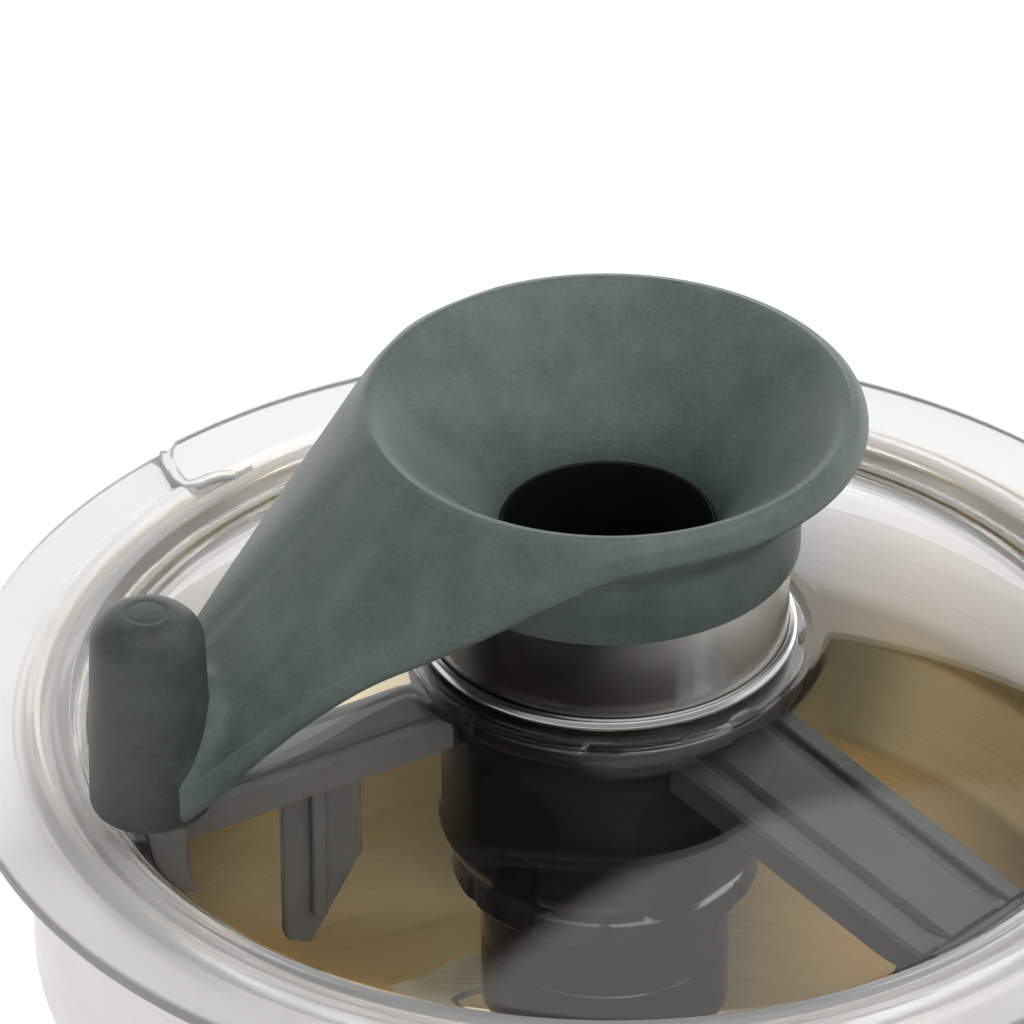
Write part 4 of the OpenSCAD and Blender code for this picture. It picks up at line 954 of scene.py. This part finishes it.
def blade_piece(name, z, lean):
    """A sickle blade: two hooked wings on a ring, with a ground edge along each hollow side."""
    plan = arc((WING_X, 0.0), WING_R, 180, 0, 24) + arc((WING_X, HOLLOW_Y), HOLLOW_R, 19, 161, 24)[1:-1]
    wing = raised("wing", plan, z + 0.02, z + 1.98)
    pick_edges(wing, lambda middle, way: middle.z > z + 1.9 and math.hypot(
        middle.x - WING_X, middle.y - HOLLOW_Y) < HOLLOW_R + 0.6)
    bpy.ops.mesh.bevel(offset=1.5 * MM, segments=1, affect="EDGES")
    bpy.ops.mesh.select_mode(type="VERT")
    close_up(wing)
    twin = settled(copied(wing, "wing"), round_axis(180 + lean))
    body = shaped(settled(wing, round_axis(lean)), twin, "UNION")
    shaped(body, plug(25.0, z - 3, z + 6, 96, ON_AXIS))
    top = z + BLADE_T
    ring = turned("ring", rounded([(23.4, z), (27.2, z, 0.2), (27.2, top, 0.2), (23.4, top)]), 96)
    return dressed(joined(name, [body, ring]), "blade", "cutter", name)


blade_piece("upper_blade", 246.8, 90)
blade_piece("lower_blade", 210.8, 0)
spacer = turned("blade_spacer", rounded([
    (23.3, 212.8), (27.2, 212.8, 0.5), (27.2, 246.8, 0.5), (23.3, 246.8)]), 96)
dressed(spacer, "cutter_black", "cutter", "blade_spacer")

# Bowl with a rolled rim, a soft shoulder, and a rounded corner at its floor
bowl_line = [(14.0, 197.3), (97.8, 197.3, 3.0), (97.8, 300.8, 6.0), (106.8, 318.8, 6.0), (106.8, 362.5)]
bowl_in = [(105.5, 364.8, 1.0), (105.5, 318.8, 6.5), (96.5, 300.8, 6.5), (96.5, 199.8, 7.0),
           (15.3, 199.8, 2.0), (15.3, 277.8, 0.3), (14.0, 277.8, 0.3)]
rolled = arc((107.7, 363.5), 1.3, -130, 90, 10)
bowl = turned("bowl", rounded(bowl_line + rolled + bowl_in), 180)
dressed(bowl, "bowl_steel", "bowl", "bowl")

foot_ring = turned("bowl_foot", rounded([(60.3, 191.4, 0.6), (80.3, 191.4, 1.2), (80.3, 197.25, 0.6),
                                         (60.3, 197.25, 0.4)]), 128)
for i in range(3):
    key = cube("key", (58.0, -5.3, 190.0), (64.4, 5.3, 199.0))
    shaped(foot_ring, settled(key, round_axis(120 * i)))
dressed(foot_ring, "seat", "bowl", "bowl_foot")

# Bowl handle: a rounded grip swept down from the mouth to the foot of the wall
HANDLE_HIGH = 341.8
HANDLE_LOW = 215.3
HIGH_WALL_R = 106.9
LOW_WALL_R = 97.9
HANDLE_LINE = [(HIGH_WALL_R, HANDLE_HIGH), (112.0, HANDLE_HIGH), (118.0, HANDLE_HIGH), (124.0, HANDLE_HIGH),
               (128.6, HANDLE_HIGH), (131.6, 340.8), (132.6, 337.8), (132.6, 333.0), (132.6, 316.0),
               (132.3, 300.0), (131.9, 284.0), (131.9, 268.0), (132.2, 252.0), (132.6, 238.0), (132.6, 224.0),
               (132.6, 219.3), (131.6, 216.3), (128.6, HANDLE_LOW), (124.0, HANDLE_LOW), (116.0, HANDLE_LOW),
               (108.0, HANDLE_LOW), (LOW_WALL_R, HANDLE_LOW)]
HANDLE_HALF_W = 12.8
HANDLE_HALF_T = 7.2
SQUARENESS = 0.62


def handle_piece():
    """Lofts rounded oblong sections along the line, mitred at its bends, with a well for each bolt."""
    line = [Vector(spot) for spot in HANDLE_LINE]
    last = len(line) - 1
    rows = []
    for i, spot in enumerate(line):
        ahead = (line[min(i + 1, last)] - line[max(i - 1, 0)]).normalized()
        out = Vector((-ahead.y, ahead.x))
        if 0 < i < last:
            out /= math.cos((spot - line[i - 1]).angle(line[i + 1] - spot) / 2)
        share = i / last
        swell = 1.0 + 0.1 * math.exp(-((share * 16) ** 2)) + 0.1 * math.exp(-(((1 - share) * 16) ** 2))
        half_w = HANDLE_HALF_W * min(swell, 1.015)
        row = []
        for k in range(41):
            c, s = polar(1.0, 9 * k)
            wide = half_w * math.copysign(abs(s) ** SQUARENESS, s)
            place = spot + out * (HANDLE_HALF_T * math.copysign(abs(c) ** SQUARENESS, c))
            x = place.x
            if i in (0, last):
                x = math.sqrt((HIGH_WALL_R if i == 0 else LOW_WALL_R) ** 2 - wide**2) + 0.02
            row.append((x, AXIS_Y + wide, place.y))
        rows.append(row)
    grip = capped(lofted("bowl_handle", rows), math.radians(50))
    sideways = Matrix.Rotation(math.pi / 2, 4, "Y")
    for z in (HANDLE_HIGH, HANDLE_LOW):
        place = Matrix.Translation(Vector((130.0, AXIS_Y, z)) * MM)
        shaped(grip, settled(plug(5.1, 0, 20, 40), place @ sideways))
    return grip


dressed(handle_piece(), "handle", "bowl", "bowl_handle")

# Seat on the deck with its keyed boss
seat = turned("bowl_seat", rounded([(17.2, DECK_Z), (92.0, DECK_Z), (92.0, 191.0, 1.6), (61.5, 191.0, 1.0),
                                    (60.0, 192.0, 0.4), (60.0, 197.0, 0.9), (17.2, 197.0, 0.4)]), 160)
for i in range(3):
    key = softened(cube("key", (58.0, -5.0, 190.5), (64.0, 5.0, 197.0)), 0.7, 2)
    shaped(seat, settled(key, round_axis(120 * i)), "UNION")
dressed(seat, "seat", "base", "bowl_seat")

# Base housing: a sloped-front case with large upright corners, hollow, with air slots and holes

def case_solid(profile, half, corner, edge):
    """A block with the side profile of (y, z), rounded upright corners and a rounded top edge."""
    case = drawn("base_housing", [(-half, y, z) for y, z in profile])
    bpy.ops.mesh.select_all(action="SELECT")
    bpy.ops.mesh.edge_face_add()
    bpy.ops.mesh.extrude_region_move(TRANSFORM_OT_translate={"value": (2 * half * MM, 0, 0)})
    close_up(case)
    deck = profile[2][1]
    upright = lambda middle, way: abs(middle.x) > half - 1 and (
        abs(way.z) > 0.99 or (abs(way.z) > 0.7 and abs(way.y) > 0.3))
    eased(case, upright, corner, 12)
    top_edges = lambda middle, way: middle.z > deck - 0.5 and not (
        abs(middle.y - profile[2][0]) < 1.0 and abs(way.x) > 0.99)
    return eased(case, top_edges, edge, 6)


def stadium(across, up, wide, high):
    """A slot's outline with round ends, about its middle."""
    straight = (high - wide) / 2
    ends = arc((across, up + straight), wide / 2, 0, 180, 8)
    return ends + arc((across, up - straight), wide / 2, 180, 360, 8)


base_housing = case_solid([(-170.0, 14.0), (-170.0, 65.5), (-90.4, DECK_Z), (170.0, DECK_Z), (170.0, 14.0)],
                          140.0, 34.0, 12.0)
hollow = case_solid([(-166.5, 8.0), (-166.5, 64.4), (-88.5, 182.5), (166.5, 182.5), (166.5, 8.0)],
                    136.5, 30.5, 8.5)
shaped(base_housing, hollow)
holes = []
for i in range(8):
    air_slot = raised("slot", stadium(-9.5 + 11.0 * i, 54.0, 5.0, 40.0), -160.0, 160.0)
    holes.append(settled(air_slot, STAND))
for x in BUTTON_XS:
    holes.append(on_panel(plug(BUTTON_HOLE_R, -9, 9), x))
holes.append(on_panel(plug(DIAL_HOLE_R, -9, 9, 32), DIAL_X))
holes.append(plug(17.1, 178, 190, at=ON_AXIS))
BACKWARD = Matrix.Rotation(-math.pi / 2, 4, "X")
INLET_AT = Matrix.Translation(Vector((-70.0, 170.0, 50.0)) * MM) @ BACKWARD
holes.append(settled(plug(11.0, -9, 9), INLET_AT))
shaped(base_housing, joined("holes", holes))
dressed(base_housing, "housing", "base", "base_housing")

inlet = turned("power_inlet", rounded([
    (4.5, -8.5), (10.9, -8.5), (10.9, -0.05, 0.8), (7.2, -0.05, 0.5), (6.6, -1.6, 0.5), (5.2, -1.9, 0.5),
    (4.5, -3.2, 0.5)]), 56, at=AT_ORIGIN)
dressed(settled(inlet, INLET_AT), "switch", "base", "power_inlet")

foot = turned("foot", rounded([
    (2.6, 5.0), (5.3, 5.0), (5.3, 0.0, 0.4), (14.2, 0.0, 1.6), (16.0, 2.8, 1.2), (15.1, 6.2, 1.0),
    (16.0, 9.4, 1.0), (16.0, 12.0, 0.3), (2.6, 12.0)]), 64, at=AT_ORIGIN)
feet = []
for x in (-106.0, 106.0):
    for y in (-136.0, 136.0):
        feet.append(settled(copied(foot, "foot"), Matrix.Translation(Vector((x, y, 0)) * MM)))
bpy.data.objects.remove(foot)
dressed(joined("feet", feet), "foot", "base", "feet")

# Sloped panel: edged plate, screws, bezels, buttons and a fluted dial

PANEL_W = 204.0
PANEL_H = 96.22
DIAL_SWEEP = 135


def panel_plate():
    """The plate with its rounded corners and holes."""
    half_w, half_h = PANEL_W / 2, PANEL_H / 2
    corners = [(-half_w, -half_h, 8), (half_w, -half_h, 8), (half_w, half_h, 8), (-half_w, half_h, 8)]
    plate = raised("control_panel", rounded(corners, 8), 0.0, 2.0)
    eased(plate, lambda middle, way: middle.z > 1.9, 0.6, 2)
    for x, r in [(x, BUTTON_HOLE_R) for x in BUTTON_XS] + [(DIAL_X, DIAL_HOLE_R)]:
        shaped(plate, plug(r, -3, 5, 56, (x, 0)))
    return on_panel(plate, 0, 0, 0)


dressed(panel_plate(), "panel", "base", "control_panel")

bezel = turned("bezel", rounded([
    (BUTTON_HOLE_R, 0.0), (14.3, 0.0), (14.3, 1.6, 0.5), (13.5, 3.0, 0.7), (11.9, 3.0, 0.5),
    (BUTTON_HOLE_R, 2.2, 0.3)]), 72, at=AT_ORIGIN)
bezels = [on_panel(copied(bezel, "bezel"), x) for x in BUTTON_XS]
bpy.data.objects.remove(bezel)
dressed(joined("button_bezels", bezels), "bezel", "base", "button_bezels")

head = turned("screw", rounded([
    (0, 0), (3.5, 0, 0.2), (3.5, 0.6, 0.3), (2.6, 1.4, 0.6), (1.8, 1.6, 0.2), (0, 1.6)]), 40, at=AT_ORIGIN,
    closed=False)
# The socket is turned so that its corners miss the head's spokes
shaped(head, raised("hexagon", arc((0, 0), 1.55, 4.5, 304.5, 5), 0.7, 3.0))
screws = []
for x in (-PANEL_W / 2 + 7, PANEL_W / 2 - 7):
    for y in (-PANEL_H / 2 + 7, PANEL_H / 2 - 7):
        screws.append(on_panel(copied(head, "screw"), x, y))
bpy.data.objects.remove(head)
dressed(joined("panel_screws", screws), "fastener", "base", "panel_screws")

bar_sign = [[(-0.9, -4.2), (0.9, -4.2), (0.9, 4.2), (-0.9, 4.2)]]
ring_sign = [arc((0, 0), 4.6, 0, 330, 11), arc((0, 0), 3.0, 0, 330, 11)]
step_sign = [[(-5.2, -2.9), (-1.4, -2.9), (-1.4, 1.7), (1.4, 1.7), (1.4, -2.9), (5.2, -2.9), (5.2, -1.7),
              (2.6, -1.7), (2.6, 2.9), (-2.6, 2.9), (-2.6, -1.7), (-5.2, -1.7)]]
BUTTONS = [("start_button", "green_button", bar_sign), ("stop_button", "red_button", ring_sign),
           ("pulse_button", "grey_button", step_sign)]
cap = turned("cap", rounded([
    (0, -10.0), (11.0, -10.0, 0.3), (11.0, 4.4, 1.2), (9.6, 6.0, 1.2), (7.0, 5.75, 2.0), (0, 5.6)]), 72,
    at=AT_ORIGIN, closed=False)
for x, (name, slot, sign) in zip(BUTTON_XS, BUTTONS):
    dressed(on_panel(copied(cap, name), x), slot, name, name)
    mark = raised(name + "_sign", sign[0], 5.3, 5.9)
    for opening in sign[1:]:
        shaped(mark, raised("opening", opening, 5.0, 6.5))
    dressed(on_panel(softened(mark, 0.12, 2), x), "white_mark", name)
bpy.data.objects.remove(cap)


def dial_piece():
    """A skirted dial with eighteen flutes up its sides and a dished top."""
    profile = [(3.1, 0.3, 0), (20.0, 0.3, 0), (20.0, 1.6, 0), (19.4, 2.9, 0), (18.4, 3.4, 0),
               (17.4, 3.7, 0.2), (17.0, 4.6, 1.0), (16.8, 8.0, 1.0), (16.5, 12.6, 1.0), (16.1, 14.4, 0.8),
               (15.2, 15.6, 0.4), (14.0, 16.1, 0.1), (12.6, 16.2, 0), (11.6, 15.8, 0), (3.0, 15.5, 0),
               (0.0, 15.5, 0)]
    rows = []
    for r, z, flute in profile:
        row = []
        for k in range(181):
            a = math.radians(2 * k)
            bite = flute * (0.5 - 0.5 * math.cos(18 * a)) ** 2
            row.append(((r - bite) * math.cos(a), (r - bite) * math.sin(a), z))
        rows.append(row)
    return capped(lofted("speed_dial", rows))


dressed(on_panel(dial_piece(), DIAL_X), "dial", "speed_dial", "speed_dial")
pointer = softened(cube("dial_pointer", (-0.9, 6.0, 15.2), (0.9, 15.0, 16.35)), 0.3, 2)
dressed(on_panel(pointer, DIAL_X), "white_mark", "speed_dial")
short_tick = softened(cube("tick", (-0.5, 22.6, -0.1), (0.5, 25.6, 0.12)), 0.1, 1)
long_tick = softened(cube("tick", (-0.5, 22.6, -0.1), (0.5, 27.2, 0.12)), 0.1, 1)
ticks = []
for k in range(11):
    turn = Matrix.Rotation(math.radians(DIAL_SWEEP - 2 * DIAL_SWEEP * k / 10), 4, "Z")
    tick = copied(long_tick if k % 5 == 0 else short_tick, "tick")
    ticks.append(on_panel(settled(tick, turn), DIAL_X))
for pattern in (short_tick, long_tick):
    bpy.data.objects.remove(pattern)
dressed(joined("dial_ticks", ticks), "white_mark", "base")

# Carried-over nodes keep their solids, welded and split at sharp edges for clean shading,
# in the finishes of the record's slots
node_slots = {row["node"]: row["material_slot"] for row in frame["record"]["subparts"]}
for name, node in frame["nodes"].items():
    if node.hide_render:
        continue
    node.data.materials.clear()
    node.data.materials.append(FINISHES[node_slots[name]])
    for face in node.data.polygons:
        face.use_smooth = True
    weld = node.modifiers.new("weld", "WELD")
    weld.merge_threshold = 0.00001
    split = node.modifiers.new("sharp_edges", "EDGE_SPLIT")
    split.split_angle = math.radians(30)

# Floor, light and camera

FLOOR_GLOW = 0.68
deselect()
bpy.ops.mesh.primitive_plane_add(size=12.0, location=(0, 0, 0))
floor = bpy.context.object
floor.name = "floor"
pale = bpy.data.materials.new("pale_floor")
pale.use_nodes = True
tree = pale.node_tree
tree.nodes.remove(tree.nodes["Principled BSDF"])
leave = tree.nodes["Material Output"]
chalk = tree.nodes.new("ShaderNodeBsdfDiffuse")
chalk.inputs["Color"].default_value = (0.5, 0.5, 0.5, 1)
glow = tree.nodes.new("ShaderNodeEmission")
path = tree.nodes.new("ShaderNodeLightPath")
bounced = largest(tree, path.outputs["Is Glossy Ray"], path.outputs["Is Transmission Ray"])
seen = largest(tree, path.outputs["Is Camera Ray"], bounced)
tree.links.new(times(tree, seen, FLOOR_GLOW), glow.inputs["Strength"])
both = tree.nodes.new("ShaderNodeAddShader")
tree.links.new(chalk.outputs["BSDF"], both.inputs[0])
tree.links.new(glow.outputs["Emission"], both.inputs[1])
tree.links.new(both.outputs["Shader"], leave.inputs["Surface"])
floor.data.materials.append(pale)

world = bpy.data.worlds.new("studio")
bpy.context.scene.world = world
world.use_nodes = True
tree = world.node_tree
sky = tree.nodes["Background"]
sky.inputs["Color"].default_value = (1, 1, 1, 1)
path = tree.nodes.new("ShaderNodeLightPath")
way = tree.nodes.new("ShaderNodeSeparateXYZ")
tree.links.new(tree.nodes.new("ShaderNodeTexCoord").outputs["Generated"], way.inputs["Vector"])
# A bright overhead panel at the front and right, and a pale horizon; the ceiling at the left is dark
height = way.outputs["Z"]
steep = largest(tree, height, 0.05)
across = math_node(tree, "DIVIDE", way.outputs["X"], steep)
behind = math_node(tree, "DIVIDE", way.outputs["Y"], steep)
slant = math_node(tree, "SUBTRACT", times(tree, across, 0.924), behind)
overhead = range_node(tree, height, 0.6, 0.92, 0.3, 1.15)
panel = times(tree, range_node(tree, slant, -0.314, -0.234), overhead)
horizon = range_node(tree, height, 0.36, 0.42, 0.85, 0.04)
haze = times(tree, horizon, range_node(tree, way.outputs["Y"], -0.5, -0.1, 0.12, 1.0))
bounced = largest(tree, path.outputs["Is Glossy Ray"], path.outputs["Is Transmission Ray"])
# Light that has left the bowl through the lid again shows the bowl's inside, which is kept bright
deep = math_node(tree, "GREATER_THAN", path.outputs["Transmission Depth"], 3.5)
warmth = largest(tree, add(tree, times(tree, way.outputs["X"], 3.9), 2.8), 0.4)
inside = times(tree, deep, warmth)
mirror = times(tree, largest(tree, largest(tree, panel, haze), inside), bounced)
shown = largest(tree, mirror, path.outputs["Is Camera Ray"])
soft = add(tree, times(tree, height, 0.2), 0.26)
lit = add(tree, soft, times(tree, panel, 0.6))
plain = times(tree, lit, math_node(tree, "SUBTRACT", 1.0, bounced))
tree.links.new(largest(tree, shown, plain), sky.inputs["Strength"])


def softbox(name, way, distance, size, watts, mirrored=False, roll=0.0, aim=(0.0, AXIS_Y * MM, 0.36)):
    lamp = bpy.data.lights.new(name, "AREA")
    lamp.shape = "RECTANGLE"
    lamp.size, lamp.size_y = size
    lamp.energy = watts
    stand = bpy.data.objects.new(name, lamp)
    bpy.context.scene.collection.objects.link(stand)
    way = Vector(way).normalized()
    stand.location = Vector(aim) + way * distance
    turn = (-way).to_track_quat("-Z", "Y").to_matrix() @ Matrix.Rotation(math.radians(roll), 3, "Z")
    stand.rotation_euler = turn.to_euler()
    stand.visible_camera = False
    stand.visible_glossy = mirrored
    stand.visible_transmission = mirrored
    return stand


softbox("key_light", (0.6, 0.15, 0.75), 1.6, (1.0, 1.0), 9.5)
softbox("fill_light", (-0.1, -0.9, 0.42), 1.6, (1.0, 1.0), 4.0)
back_light = softbox("back_light", (0.0, 1.0, 0.0), 1.5, (3.6, 2.17), 25.0, mirrored=True, roll=27.0)
back_light.visible_diffuse = False

lens = bpy.data.cameras.new("camera")
lens.lens = 281.25
lens.sensor_width = 36.0
lens.clip_end = 50.0
camera = bpy.data.objects.new("camera", lens)
bpy.context.scene.collection.objects.link(camera)
camera.location = (0.0, -1.17756, 1.21057)
camera.rotation_euler = (math.radians(56.50), 0.0, math.radians(0.8237))
bpy.context.scene.camera = camera
bpy.context.scene.view_settings.view_transform = "Standard"

deselect()
